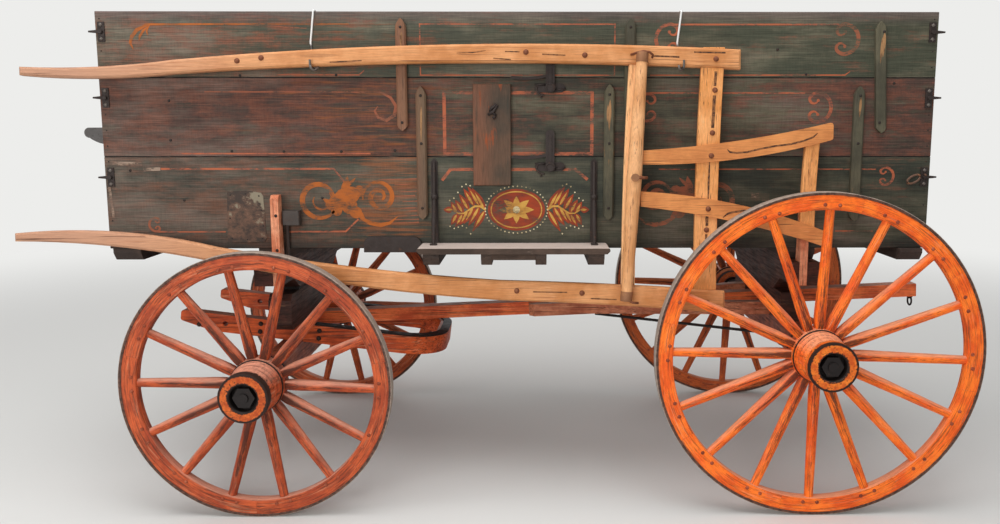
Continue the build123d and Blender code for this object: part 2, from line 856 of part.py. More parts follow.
def latch(seam_z):
    """A box latch over a seam on the near side: plate, boss, ribbed bar and curved lever."""
    x = step_x + latch_offset
    face = -box_half
    boss_z = seam_z - boss_drop
    low = seam_z - latch_drop
    high = seam_z + latch_rise
    half = latch_bar_w / 2
    plate_r = latch_plate_h / 2
    lug_x = latch_plate_l / 2 - plate_r
    plate = block(x - lug_x, x + lug_x, face - latch_plate_t, face, boss_z - plate_r, boss_z + plate_r)
    for lug in (x - lug_x, x + lug_x):
        plate += rod((lug, face, boss_z), (lug, face - latch_plate_t, boss_z), plate_r)
    boss = rod((x, face, boss_z), (x, face - latch_plate_t - boss_l, boss_z), boss_r)
    bar_y = face - latch_plate_t
    rib_y = bar_y - latch_bar_t
    bar = block(x - half, x + half, rib_y, bar_y, boss_z, high - half)
    bar += rod((x, bar_y, high - half), (x, rib_y, high - half), half)
    bar += block(x - latch_rib_w / 2, x + latch_rib_w / 2, rib_y - latch_rib_t, rib_y, low, high - half)
    tip = (x - half - lever_l, seam_z - lever_h / 2)
    root = (x - half, seam_z)
    high_tip = (tip[0], tip[1] + lever_h)
    middle = ((tip[0] + root[0]) / 2, seam_z - lever_bow)
    lever = Wire([
        ThreePointArc(tip, middle, root),
        Line(root, (x, seam_z)),
        Line((x, seam_z), (x, seam_z + lever_h)),
        Line((x, seam_z + lever_h), (root[0], seam_z + lever_h)),
        ThreePointArc((root[0], seam_z + lever_h), (middle[0], middle[1] + lever_h), high_tip),
        ThreePointArc(high_tip, (tip[0] - lever_h / 2, tip[1] + lever_h / 2), tip),
    ])
    handle = side_plate(lever, rib_y, bar_y)
    return plate + boss + bar + handle


def side_step():
    """The near step plank: rounded top edges, its ends bevelled underneath."""
    y_out = -box_half - step_out
    y_in = -box_half - strap_t - rub_gap
    outline = Polyline(
        (step_x + step_bevel, box_z),
        (step_rear - step_bevel, box_z),
        (step_rear, box_z + step_bevel),
        (step_rear, box_z + step_t),
        (step_x, box_z + step_t),
        (step_x, box_z + step_bevel),
        close=True,
    )
    plank = side_plate(outline, y_out, y_in)
    return fillet(plank.edges().filter_by(Axis.Y).group_by(Axis.Z)[-1], step_round)


def step_batten():
    """The short batten under the near step plank, between its two middle sills."""
    y_out = -box_half - step_out + step_sill_back
    half = (mid_sill_spread - mid_sill_w) / 2
    return block(step_mid - half, step_mid + half, y_out, y_out + step_batten_w, box_z - step_batten_h, box_z)


def step_brace(x, step):
    """A pointed strap on the near side, and the swelling stay from it to the step plank."""
    face = -box_half
    top = box_z + lower_h - strap_drop
    half = strap_w / 2
    outline = Polyline((x - half, box_z + step_t), (x + half, box_z + step_t), (x + half, top - half),
                       (x, top), (x - half, top - half), close=True)
    strap = side_plate(outline, face - strap_t, face)
    rod_y = face - strap_t - stay_r
    knob = (x, rod_y - stay_knob_r / 2, box_z + stay_knob_z)
    foot = (x, face - stay_out, box_z + step_t)
    belly = (x, (knob[1] + foot[1]) / 2, (knob[2] + foot[2]) / 2)
    stay = rod((x, rod_y, top - half), knob, stay_r)
    stay += Pos(*knob) * Sphere(stay_knob_r)
    stay += cone(knob, belly, stay_r, stay_belly_r)
    stay += cone(belly, foot, stay_belly_r, stay_r)
    stay += block(x - half, x + half, foot[1] - half, foot[1] + half, foot[2], foot[2] + plate_t)
    pad = block(x - half / 2, x + half / 2, rod_y, face - strap_t, top - stay_pad_h, top - half)
    return less(strap + stay + pad, [step])


def rub_iron():
    """A rounded iron plate on the near lower edge, where the turned wheel meets it."""
    low = box_z - rub_drop
    end = step_x - rub_gap
    plate = block(end - rub_l, end, -box_half - rub_t, -box_half, low, low + rub_h)
    return fillet(plate.edges().filter_by(Axis.Y).group_by(Axis.Z)[-1], rub_round)


def foot_rest():
    """The moulded ledge on the front end: a flat top over a hollow curved underside, on two arms."""
    high = upper_z + foot_rest_z
    nose_x = box_front - foot_rest_out
    outline = Wire([
        Line((box_front, high), (nose_x + foot_rest_nose, high)),
        ThreePointArc((nose_x + foot_rest_nose, high), (nose_x, high - foot_rest_nose),
                      (nose_x + foot_rest_nose, high - 2 * foot_rest_nose)),
        ThreePointArc((nose_x + foot_rest_nose, high - 2 * foot_rest_nose),
                      (box_front - foot_rest_out / 2, high - foot_rest_h + foot_rest_nose / 2),
                      (box_front, high - foot_rest_h)),
        Line((box_front, high - foot_rest_h), (box_front, high)),
    ])
    ledge = side_plate(outline, -foot_rest_half, foot_rest_half)
    gate_face = box_front + gate_inset - gate_t / 2
    low = high - foot_rest_h
    half = foot_arm_w / 2
    arms = [
        block(box_front - foot_arm_w, gate_face, y - half, y + half, low - foot_arm_h, low)
        for y in (-foot_arm_y, foot_arm_y)
    ]
    return [ledge, *arms]


def stake_clip():
    """A block on the near side behind the front stake, and the bolt down from it through the sill."""
    x0 = front_stake_x + stake_w / 2 + stake_air
    low = box_z + clip_z
    body = block(x0, x0 + clip_l, -box_half - clip_t, -box_half, low, low + clip_h)
    body = chamfer(body.edges().filter_by(Axis.Z), board_edge)
    bolt_x = x0 + stake_air + clip_rod_r
    bolt_y = -box_half - stake_air - clip_rod_r
    return body + rod((bolt_x, bolt_y, sill_z), (bolt_x, bolt_y, low), clip_rod_r)


def box_nodes():
    """The triple box and all that is fixed on it."""
    front_x = box_front + gate_inset
    rear_x = box_rear - gate_inset
    step = side_step()
    plank_x = step_x + plank_offset
    centre = block(plank_x, plank_x + plank_w, -box_half - plank_t, -box_half,
                   upper_z - plank_low, upper_z + plank_high)
    centre = chamfer(centre.faces().sort_by(Axis.Y)[0].edges(), board_edge)
    braces = [step_brace(x, step) for x in (step_x + brace_inset, step_rear - brace_inset)]
    return {
        "floor_boards": pieces(floor_boards()),
        "cross_sills": pieces(cross_sills()),
        "sides_lower": pieces(both_sides(side_board(box_z, lower_h))),
        "sides_upper": pieces(both_sides(side_board(upper_z, upper_h))),
        "sides_top": pieces(both_sides(side_board(top_z, top_h))),
        "front_gate": pieces(gate(front_x, -1, inner_half - seat_gap)),
        "tail_gate": pieces(gate(rear_x, 1, inner_half - gate_gap)),
        "box_cleats": pieces([s for row in CLEATS for s in both_sides(cleat(*row))]),
        "gate_cleats": pieces([s for x in (front_x, rear_x) for c in gate_cleats(x) for s in both_sides(c)]),
        "end_rods": pieces([end_rod(*row) for row in END_RODS]),
        "latches": pieces([s for seam in (upper_z, top_z) for s in both_sides(latch(seam))]),
        "centre_planks": pieces(both_sides(centre)),
        "rub_irons": pieces(both_sides(rub_iron())),
        "side_steps": pieces(both_sides(step), both_sides(step_batten())),
        "step_braces": pieces([s for brace in braces for s in both_sides(brace)]),
        "foot_board": pieces(foot_rest()),
        "stake_clips": pieces(both_sides(stake_clip())),
    }


# Shafts: drawn in X and Z, heights counted down from the box's top edge, on an upright plane
# that is then tipped until its foot stands out from the box

def edge_arcs(stations, side):
    """The upper (side 1) or lower (side -1) edge through stations, an arc to each three."""
    points = [(x, z + side * depth / 2) for x, z, depth in stations]
    return [ThreePointArc(*points[n:n + 3]) for n in range(0, len(points) - 2, 2)]


def curved_bar(stations, thick):
    """A flat curved timber from stations of x, middle height and depth."""
    high = edge_arcs(stations, 1)
    low = edge_arcs(stations, -1)
    ends = [Line(high[0] @ 0, low[0] @ 0), Line(high[-1] @ 1, low[-1] @ 1)]
    return side_plate(Wire([*high, *low, *ends]), -thick / 2, thick / 2)


def upright_bar(x_top, x_mid, x_foot, width, top, foot):
    """A slightly bowed upright timber of the shafts."""
    half = width / 2
    mid = (top + foot) / 2
    outline = Wire([
        ThreePointArc((x_top - half, top), (x_mid - half, mid), (x_foot - half, foot)),
        Line((x_foot - half, foot), (x_foot + half, foot)),
        ThreePointArc((x_foot + half, foot), (x_mid + half, mid), (x_top + half, top)),
        Line((x_top + half, top), (x_top - half, top)),
    ])
    return side_plate(outline, -bar_t / 2, bar_t / 2)


def lean(shape):
    """Tips a shaft piece from the upright plane to its resting place beside the box."""
    down = Pos(0, 0, shaft_drop) * shape
    return Pos(0, -shaft_top_y, box_top - shaft_drop) * Rot(-shaft_lean, 0, 0) * down


def tree_axis():
    """Top and foot of the singletree's middle line, and its y on the shafts' plane."""
    x_top = SHAFT_BARS[0][0] + tree_end_r
    x_foot = SHAFT_BARS[0][2] - tree_end_r / 2
    y = -rail_t / 2 - seat_gap - ferrule_t - tree_end_r
    return Vector(x_top, y, -tree_top_drop), Vector(x_foot, y, -tree_foot_drop)


def singletree():
    """A round bar, thickest in its middle, hung in front of the shafts' front cross bar."""
    top, foot = tree_axis()
    middle = (top + foot) / 2
    halves = [cone(tuple(middle), tuple(end), tree_r, tree_end_r) for end in (top, foot)]
    return halves[0] + halves[1]


def tree_irons(tree, bar):
    """Ferrules on the singletree's ends, and the bolt that holds it to the cross bar."""
    top, foot = tree_axis()
    along = (foot - top).normalized()
    ends = []
    for start, way in ((top, 1), (foot, -1)):
        outside = start - along * way * ferrule_t
        inside = start + along * way * ferrule_l
        cap = rod(tuple(outside), tuple(inside), tree_end_r + ferrule_t)
        ends.append(cap - tree)
    middle = (top + foot) / 2
    head_y = middle.Y - tree_r
    bolt = rod((middle.X, -bar_t / 2, middle.Z), (middle.X, head_y, middle.Z), tree_bolt_r)
    head = rod((middle.X, head_y, middle.Z), (middle.X, head_y - tree_bolt_r, middle.Z), tree_bolt_head_r)
    return ends, bolt + head


def hook_rod(x, rail):
    """A round rod hooked over the near side's top edge, its lower hook close under the top rail."""
    y_in = -inner_half + hook_rod_r
    y_out = -box_half - hook_rod_r
    y_lip = -shaft_top_y - rail_t / 2 - hook_air
    high = box_top + hook_rod_r
    back = x + hook_sway
    over_hook = rail & block(back - hook_rod_r, back + hook_rod_r, -track, 0, 0, box_top)
    low = over_hook.bounding_box().min.Z - seat_gap - hook_rod_r
    return bent_rod([(back, y_in, high - hook_inside), (back, y_in, high), (back, y_out, high),
                     (x - hook_sway, y_out, box_top - hook_bend), (back, y_out, low),
                     (back, y_lip, low), (back, y_lip, low + hook_lip)], hook_rod_r, hook_bend_r)


def shaft_nodes():
    """Both rails, their cross bars, the arms, the singletree and the hooks that hold all."""
    top_rail = curved_bar(TOP_RAIL, rail_t)
    low_rail = curved_bar(LOW_RAIL, rail_t)
    bars = [upright_bar(*row) for row in SHAFT_BARS]
    high_arm = curved_bar(HIGH_ARM, rail_t)
    high_arm = fillet(high_arm.faces().sort_by(Axis.X)[-1].edges().filter_by(Axis.Y), arm_end_r)
    arms = [less(arm, bars) for arm in (high_arm, curved_bar(LOW_ARM, rail_t))]
    rails = [chamfer(long_edges(rail), rail_edge) for rail in (top_rail, low_rail)]
    tree = singletree()
    ends, bolt = tree_irons(tree, bars[0])
    hung_rail = lean(less(rails[0], bars))
    return {
        "shaft_top_rail": pieces(hung_rail),
        "shaft_low_rail": pieces(lean(less(rails[1], bars))),
        "shaft_cross_bars": pieces([lean(bar) for bar in bars]),
        "shaft_arms": pieces([lean(arm) for arm in arms]),
        "singletree": pieces(lean(tree - bolt)),
        "tree_irons": pieces([lean(iron) for iron in (*ends, bolt)]),
        "hook_rods": pieces([hook_rod(x, hung_rail) for x in (hook_front_x, hook_rear_x)]),
    }


def main():
    os.makedirs("parts", exist_ok=True)
    nodes = {**box_nodes(), **gear_nodes(), **shaft_nodes()}
    front = (front_wheel_d, front_spoke_count, front_spoke_phase)
    rear = (rear_wheel_d, rear_spoke_count, rear_spoke_phase)
    # Columns: name, x of the axle, side, then diameter, number of spokes and the first one's turn
    wheels = (
        ("front_near", 0, -1, *front),
        ("front_far", 0, 1, *front),
        ("rear_near", wheel_base, -1, *rear),
        ("rear_far", wheel_base, 1, *rear),
    )
    for row in wheels:
        nodes.update(wheel_nodes(*row))
    middle = (shaft_tip_x + reach_rear_x) / 2
    for name, shape in nodes.items():
        export_step(Pos(-middle, 0, 0) * shape, f"parts/{name}.step")


main()
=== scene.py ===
import math
import random

import bmesh
import bpy
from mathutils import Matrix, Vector


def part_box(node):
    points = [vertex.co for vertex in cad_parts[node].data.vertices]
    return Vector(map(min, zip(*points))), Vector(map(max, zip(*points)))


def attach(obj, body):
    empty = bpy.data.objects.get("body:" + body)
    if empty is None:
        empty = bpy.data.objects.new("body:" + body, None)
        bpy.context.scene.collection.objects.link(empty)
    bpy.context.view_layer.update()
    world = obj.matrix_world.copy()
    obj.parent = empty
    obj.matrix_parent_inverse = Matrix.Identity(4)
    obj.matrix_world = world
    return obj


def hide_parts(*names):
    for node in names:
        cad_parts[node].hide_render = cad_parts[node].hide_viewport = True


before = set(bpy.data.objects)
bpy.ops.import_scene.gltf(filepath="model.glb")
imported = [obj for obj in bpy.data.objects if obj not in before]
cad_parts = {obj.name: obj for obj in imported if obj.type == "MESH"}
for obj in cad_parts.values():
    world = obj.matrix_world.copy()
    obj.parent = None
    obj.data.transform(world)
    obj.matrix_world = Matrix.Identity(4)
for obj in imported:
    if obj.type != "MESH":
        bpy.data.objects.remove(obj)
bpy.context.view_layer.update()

# Camera, lamps and floor. The wagon stands on a plain pale floor under large soft studio lamps,
# seen from its near side at standing height, slightly from above.
camera_data = bpy.data.cameras.new("camera")
camera_data.lens = 31.41
camera_data.sensor_width = 36.0
camera_data.shift_x = -0.0385
camera_data.shift_y = -0.0143
camera = bpy.data.objects.new("camera", camera_data)
camera.location = (0.10674, -3.91537, 1.46173)
camera.rotation_euler = (math.radians(82.047), 0.0, math.radians(-0.456))
bpy.context.scene.collection.objects.link(camera)
bpy.context.scene.camera = camera
bpy.context.scene.view_settings.view_transform = "Standard"


def rgb(code):
    """Linear colour of an sRGB hex code."""
    parts = [int(code[n:n + 2], 16) / 255 for n in (1, 3, 5)]
    return (*[c / 12.92 if c <= 0.04045 else ((c + 0.055) / 1.055) ** 2.4 for c in parts], 1.0)


def add(tree, kind, inputs=(), **settings):
    """Adds a node with its settings. Inputs come in the order of its sockets or by name, and each is a
    plain value, a hex colour, or the node or socket that is linked to it."""
    item = tree.nodes.new("ShaderNode" + kind)
    for name, value in settings.items():
        setattr(item, name, value)
    sockets = [s for s in item.inputs if s.enabled]
    if isinstance(inputs, dict):
        sockets = [next(s for s in sockets if s.name == name) for name in inputs]
        inputs = inputs.values()
    for socket, value in zip(sockets, inputs):
        if isinstance(value, bpy.types.Node):
            value = next(s for s in value.outputs if s.enabled)
        if isinstance(value, bpy.types.NodeSocket):
            tree.links.new(value, socket)
        else:
            socket.default_value = rgb(value) if isinstance(value, str) else value
    return item


def new_material(name, field=None):
    """A material, its node tree and each point's place: in the frame, or in a field of the mesh."""
    material = bpy.data.materials.new(name)
    material.use_nodes = True
    tree = material.node_tree
    tree.nodes.clear()
    if field:
        return material, tree, add(tree, "Attribute", attribute_name=field).outputs["Vector"]
    return material, tree, add(tree, "TexCoord").outputs["Object"]


def lamp(name, place, aim, size, power):
    """A soft square lamp that faces a point."""
    data = bpy.data.lights.new(name, "AREA")
    data.shape = "RECTANGLE"
    data.size, data.size_y = size
    data.energy = power
    thing = bpy.data.objects.new(name, data)
    thing.location = place
    thing.rotation_euler = (Vector(aim) - Vector(place)).to_track_quat("-Z", "Y").to_euler()
    bpy.context.scene.collection.objects.link(thing)


lamp("sky_lamp", place=(-0.6, -1.6, 5.6), aim=(0.0, 0.0, 0.6), size=(6.0, 4.0), power=250.0)
lamp("front_lamp", place=(-2.4, -6.2, 2.3), aim=(0.0, 0.0, 0.8), size=(3.4, 2.4), power=158.0)
lamp("back_lamp", place=(0.5, 5.5, 3.6), aim=(0.0, 0.0, 0.8), size=(4.0, 3.0), power=60.0)

backdrop_white = "#EDEDEB"
world = bpy.data.worlds.new("studio")
world.use_nodes = True
world.node_tree.nodes.clear()
room = add(world.node_tree, "Background", ("#F0F1F2", 0.46))
seen = add(world.node_tree, "Background", (backdrop_white, 1.0))
rays = add(world.node_tree, "LightPath")
backdrop = add(world.node_tree, "MixShader", (rays.outputs["Is Camera Ray"], room, seen))
add(world.node_tree, "OutputWorld", (backdrop,))
bpy.context.scene.world = world

floor_mesh = bpy.data.meshes.new("floor")
floor_mesh.from_pydata([(-40, -30, 0), (40, -30, 0), (40, 50, 0), (-40, 50, 0)], [], [(0, 1, 2, 3)])
floor = bpy.data.objects.new("floor", floor_mesh)
bpy.context.scene.collection.objects.link(floor)
# Matt paint: even and pale, so that the wagon's shadow reads, and lost in the backdrop far off
floor_paint, tree, place = new_material("matt_floor")
soft_step = {"interpolation_type": "SMOOTHSTEP"}
distance = add(tree, "VectorMath", (place,), operation="LENGTH")
far_off = add(tree, "MapRange", (distance, 2.6, 8.5), **soft_step)
rays = add(tree, "LightPath")
seen_far = add(tree, "Math", (far_off, rays.outputs["Is Camera Ray"]), operation="MULTIPLY")
matt = add(tree, "BsdfPrincipled", {"Base Color": "#DCDBD8", "Roughness": 0.95, "Specular IOR Level": 0.1})
glow = add(tree, "Emission", (backdrop_white, 1.0))
shade = add(tree, "MixShader", (seen_far, matt, glow))
add(tree, "OutputMaterial", (shade,))
floor_mesh.materials.append(floor_paint)

# Box side boards. Wide pine planks, brush-painted dark green long ago. The paint has gone chalky,
# and has worn along the grain to a brown-red primer, most of all at the front.
box_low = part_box("sides_lower")[0]
box_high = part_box("sides_top")[1]
board_y = box_high.y


def stretched(tree, place, size, seed, detail=4.0, rough=0.6):
    """Noise whose blots have the given sizes in millimetres along X, Y and Z."""
    moved = add(tree, "Mapping", {"Vector": place, "Location": (seed, seed * 1.7, seed * 2.3),
                                  "Scale": [1000.0 / s for s in size]})
    return add(tree, "TexNoise", (moved, 1.0, detail, rough)).outputs[0]


def coat(tree, under, over, where, low, high, least=0.0, most=1.0):
    """A colour with another laid over it, its share going from least to most as a value goes low to high."""
    share = add(tree, "MapRange", (where, low, high, least, most), **soft_step)
    return add(tree, "Mix", (share, under, over), data_type="RGBA")


def total_of(tree, *values):
    """The sum of several values."""
    total = values[0]
    for value in values[1:]:
        total = add(tree, "Math", (total, value), operation="ADD")
    return total


def board_colour(tree, place, look):
    """Colour, height and wear of a worn painted board, from its paints and where it is worn."""
    x, _, z = add(tree, "SeparateXYZ", (place,)).outputs
    seed = look["seed"]
    clouds = stretched(tree, place, (420, 420, 130), seed, 6.0, 0.62)
    streaks = stretched(tree, place, (420, 60, 13), seed + 3.1, 8.0, 0.72)
    scuffs = stretched(tree, place, (120, 60, 44), seed + 5.9, 8.0, 0.75)
    grain = stretched(tree, place, (130, 20, 2.4), seed + 7.7, 5.0, 0.7)
    scratches = stretched(tree, place, (3.0, 30, 46), seed + 9.3, 4.0)
    spots = stretched(tree, place, (210, 60, 12), seed + 12.4, 8.0, 0.74)
    start = box_low.x + look["green_from"]
    front = add(tree, "MapRange", (x, start - 0.6, start + 0.4, look["brown_front"], look["brown_middle"]),
                **soft_step)
    rear = add(tree, "MapRange", (x, box_high.x - 1.0, box_high.x - 0.2, 0.0, look["brown_rear"]),
               **soft_step)
    wear = total_of(tree, streaks, scuffs, front, rear)
    green = coat(tree, look["dark"], look["light"], clouds, 0.4, 0.6)
    primer = coat(tree, look["brown"], look["red"], scuffs, 0.42, 0.62)
    colour = coat(tree, green, primer, wear, 1.0, 1.34)
    off = total_of(tree, x, -(box_low.x + look["rust_at"]))
    away = add(tree, "Math", (off,), operation="ABSOLUTE")
    patch = add(tree, "MapRange", (away, 0.05, look["rust_wide"], look["rust"], look["rust_least"]),
                **soft_step)
    colour = coat(tree, colour, "#8A5230", total_of(tree, spots, patch), 0.60, 0.80, 0.0, 0.85)
    pale = add(tree, "MapRange", (x, box_low.x, box_low.x + 1.3, 0.16, 0.0), **soft_step)
    colour = coat(tree, colour, "#86776C", total_of(tree, clouds, pale), 0.5, 0.78, 0.0, 0.42)
    colour = coat(tree, colour, "#6A5A58", z, box_high.z - 0.06, box_high.z + 0.01, 0.0, 0.7)
    colour = coat(tree, colour, "#2C2725", z, box_low.z + 0.01, box_low.z + 0.05, 0.6, 0.0)
    fine = add(tree, "MapRange", (grain, 0.3, 0.7, 0.52, 1.14), **soft_step)
    nicks = add(tree, "MapRange", (scratches, 0.32, 0.62, -0.02, 0.10), **soft_step)
    shaded = add(tree, "VectorMath", (colour, total_of(tree, fine, nicks)), operation="SCALE")
    height = total_of(tree, grain, add(tree, "MapRange", (wear, 1.0, 1.4, 0.0, -0.5), **soft_step))
    return shaded, height, wear


def matt_shader(tree, colour, height, rough, depth=0.001, strength=0.35):
    """A dull coat: worn paint and dry wood reflect very little."""
    bump = add(tree, "Bump", {"Height": height, "Strength": strength, "Distance": depth})
    shade = add(tree, "BsdfPrincipled", {"Base Color": colour, "Normal": bump, "Roughness": rough,
                                         "Specular IOR Level": 0.22})
    add(tree, "OutputMaterial", (shade,))


# Each board's paints and wear: brown_ values raise the wear there, rust_at is metres from the front end
LOOKS = {
    "sides_top": {"seed": 1.0, "dark": "#484A3C", "light": "#6A6553", "brown": "#6A5547", "red": "#80523F",
                  "green_from": 1.15, "brown_front": 0.16, "brown_middle": -0.02, "brown_rear": 0.0,
                  "rust_at": 0.95, "rust_wide": 0.75, "rust": 0.05, "rust_least": -0.08},
    "sides_upper": {"seed": 21.0, "dark": "#3C392F", "light": "#5C5846", "brown": "#543F38", "red": "#704739",
                    "green_from": 1.4, "brown_front": 0.33, "brown_middle": 0.06, "brown_rear": 0.24,
                    "rust_at": 1.05, "rust_wide": 0.8, "rust": 0.12, "rust_least": -0.03},
    "sides_lower": {"seed": 41.0, "dark": "#383A31", "light": "#504E3F", "brown": "#5A4A40", "red": "#6C4C3C",
                    "green_from": 1.15, "brown_front": 0.24, "brown_middle": -0.12, "brown_rear": 0.10,
                    "rust_at": 1.1, "rust_wide": 0.32, "rust": 0.2, "rust_least": -0.1},
}
# Green board paint: chalky and matt, and slightly glossier where it is whole
for node_name, look in LOOKS.items():
    paint, tree, place = new_material("chalky_paint_" + node_name)
    colour, height, wear = board_colour(tree, place, look)
    rough = add(tree, "MapRange", (wear, 0.9, 1.4, 0.5, 0.8), **soft_step)
    matt_shader(tree, colour, height, rough, 0.0012, 0.4)
    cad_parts[node_name].data.materials.clear()
    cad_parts[node_name].data.materials.append(paint)

# Pinstripes and painted ornament. One-stroke lines and scrolls in salmon and gold, brushed on the
# boards over the green. They have thinned and flaked with it, so the board shows through.


def make_object(name, verts, faces, material, body, smooth=True):
    """A mesh piece that rides on a body."""
    mesh = bpy.data.meshes.new(name)
    mesh.from_pydata([tuple(v) for v in verts], [], faces)
    mesh.materials.append(material)
    mesh.polygons.foreach_set("use_smooth", [smooth] * len(mesh.polygons))
    mesh.update()
    thing = bpy.data.objects.new(name, mesh)
    bpy.context.scene.collection.objects.link(thing)
    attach(thing, body)
    return thing


def stroke(points, width):
    """Quads of a painted line through (along, up) points, mitred at its corners; one width or one each."""
    widths = width if isinstance(width, (list, tuple)) else [width] * len(points)
    closed = points[0] == points[-1]
    edge = []
    for n, (x, z) in enumerate(points):
        before = points[n - 1] if n else points[-2] if closed else points[0]
        after = points[n + 1] if n + 1 < len(points) else points[1] if closed else points[-1]
        here = Vector((x, z))
        runs = [r.normalized() for r in (here - Vector(before), Vector(after) - here) if r.length > 0]
        run = (runs[0] + runs[-1]).normalized()
        side = Vector((-run.y, run.x)) * widths[n] / 2 / max(run.dot(runs[0]), 0.4)
        edge.append(((x + side.x, z + side.y), (x - side.x, z - side.y)))
    return [(a[0], b[0], b[1], a[1]) for a, b in zip(edge, edge[1:])]


def curl(start, heading, turn, parts):
    """Points of a stroke that turns left (1) or right (-1) from a heading, by (radius, degrees) parts."""
    x, z = start
    angle = math.radians(heading)
    points = [(x, z)]
    for radius, degrees in parts:
        count = max(3, round(degrees / 11))
        step = math.radians(degrees) / count
        for _ in range(count):
            angle += turn * step / 2
            x += radius * step * math.cos(angle)
            z += radius * step * math.sin(angle)
            angle += turn * step / 2
            points.append((x, z))
    return points


def brushed(points, thick, thin=0.002):
    """A stroke that swells in its middle, as a loaded brush leaves it."""
    last = len(points) - 1
    swell = [abs(math.sin(math.pi * n / last)) ** 0.8 for n in range(last + 1)]
    return stroke(points, [thin + (thick - thin) * s for s in swell])


def oval(centre, wide, high, sides, extra=0):
    """Points round an oval, from its half width and half height; one extra point closes it."""
    turns = [2 * math.pi * n / sides for n in range(sides + extra)]
    return [(centre[0] + wide * math.cos(a), centre[1] + high * math.sin(a)) for a in turns]


def disc(centre, radius, sides=14):
    """A painted dot."""
    return [tuple(oval(centre, radius, radius, sides))]


def c_scroll(centre, radius, face, thick):
    """A C-shaped scroll that opens to the right (face 1) or left (face -1), its ends curled in to a dot."""
    middle = (centre[0] - face * radius, centre[1])
    parts = ((radius, 82), (radius * 0.62, 60), (radius * 0.3, 200))
    upper = curl(middle, 90, -face, parts)
    lower = curl(middle, -90, face, parts)
    shapes = brushed([*reversed(lower), *upper[1:]], thick, 0.0035)
    return shapes + disc(upper[-1], thick * 0.42) + disc(lower[-1], thick * 0.42)


def leaf(start, end, wide):
    """A painted leaf between two points."""
    a = Vector(start)
    b = Vector(end)
    across = Vector((-(b - a).y, (b - a).x)).normalized() * wide / 2
    left = []
    right = []
    for n in range(1, 8):
        share = n / 8
        middle = a.lerp(b, share)
        bulge = math.sin(math.pi * share ** 0.8)
        left.append(tuple(middle + across * bulge))
        right.append(tuple(middle - across * bulge))
    return [(tuple(a), *left, tuple(b), *reversed(right))]


def spiral(centre, outer, inner, start, sweep, face):
    """Points of a stroke round a centre that tightens from an outer to an inner radius; angles in degrees."""
    count = round(abs(sweep) / 11)
    points = []
    for n in range(count + 1):
        a = math.radians(start + sweep * n / count)
        r = outer + (inner - outer) * n / count
        points.append((centre[0] + face * r * math.cos(a), centre[1] + r * math.sin(a)))
    return points


def double_volute(x, face):
    """A round scroll and a spiral on either side of a leafed bud, at x along the board; face mirrors them."""
    def at(dx, z):
        return (x + face * dx, z)
    shapes = brushed(spiral(at(-0.097, 0.190), 0.072, 0.058, -25, -345, face), 0.021, 0.006)
    shapes += brushed(spiral(at(-0.092, 0.190), 0.046, 0.026, 40, -250, face), 0.008, 0.003)
    shapes += brushed(spiral(at(0.138, 0.202), 0.066, 0.014, 190, -600, face), 0.020, 0.006)
    shapes += brushed([at(0.040, 0.148), at(0.066, 0.120), at(0.100, 0.100), at(0.140, 0.092),
                       at(0.176, 0.100),
                       at(0.208, 0.126)], 0.017)
    for dx, z, r in ((-0.052, 0.172, 0.022), (-0.028, 0.186, 0.030), (0.000, 0.200, 0.036),
                     (0.030, 0.212, 0.032), (0.060, 0.226, 0.022), (0.020, 0.168, 0.032),
                     (0.045, 0.142, 0.024), (-0.030, 0.150, 0.022)):
        shapes += disc(at(dx, z), r)
    for dx, z, to_dx, to_z, wide in ((0.000, 0.200, 0.016, 0.284, 0.034), (0.014, 0.244, 0.048, 0.278, 0.013),
                                     (0.048, 0.206, 0.084, 0.226, 0.022), (0.040, 0.152, 0.080, 0.118, 0.026),
                                     (-0.048, 0.176, -0.084, 0.196, 0.018)):
        shapes += leaf(at(dx, z), at(to_dx, to_z), wide)
    return shapes


# Measured along the board from the front end and up from the box's underside, in metres
fine_line = 0.005
thin_line = 0.0065
thick_line = 0.013
salmon = {"sides_top": [], "sides_upper": [], "sides_lower": []}
gold = {"sides_top": [], "sides_lower": []}
faded = {"sides_top": [], "sides_upper": [], "sides_lower": []}
salmon["sides_top"] += stroke([(1.229, 0.861), (1.973, 0.861), (1.973, 0.670), (1.229, 0.670),
                               (1.229, 0.861)],
                              fine_line)
gold["sides_top"] += stroke([(0.185, 0.859), (0.45, 0.860), (0.96, 0.861)], [0.008, 0.006, 0.003])
gold["sides_top"] += brushed([(0.218, 0.862), (0.187, 0.854), (0.156, 0.838), (0.136, 0.815), (0.128, 0.790),
                              (0.139, 0.766)], 0.014)
gold["sides_top"] += brushed([(0.208, 0.856), (0.182, 0.838), (0.166, 0.815), (0.162, 0.798)], 0.010)
gold["sides_top"] += brushed([(0.202, 0.850), (0.193, 0.834), (0.196, 0.818)], 0.006)
salmon["sides_top"] += stroke([(0.68, 0.671), (0.995, 0.671), (1.015, 0.690)], [0.003, fine_line, 0.003])
salmon["sides_top"] += stroke([(2.19, 0.860), (2.83, 0.861)], thin_line)
salmon["sides_top"] += c_scroll((2.185, 0.806), 0.055, 1, 0.014)
faded["sides_top"] += c_scroll((2.850, 0.806), 0.056, -1, 0.015)
salmon["sides_top"] += stroke([(2.11, 0.670), (2.86, 0.671), (2.88, 0.685)], [fine_line, fine_line, 0.002])
salmon["sides_upper"] += stroke([(1.318, 0.604), (1.888, 0.604), (1.888, 0.370), (1.318, 0.370),
                                 (1.318, 0.604)],
                                thick_line)
faded["sides_upper"] += stroke([(0.40, 0.607), (1.04, 0.606)], [0.004, thin_line])
faded["sides_upper"] += brushed([(1.03, 0.607), (1.075, 0.605), (1.112, 0.586), (1.133, 0.552),
                                 (1.126, 0.518),
                                 (1.094, 0.498), (1.064, 0.508), (1.050, 0.534), (1.062, 0.552)], 0.013)
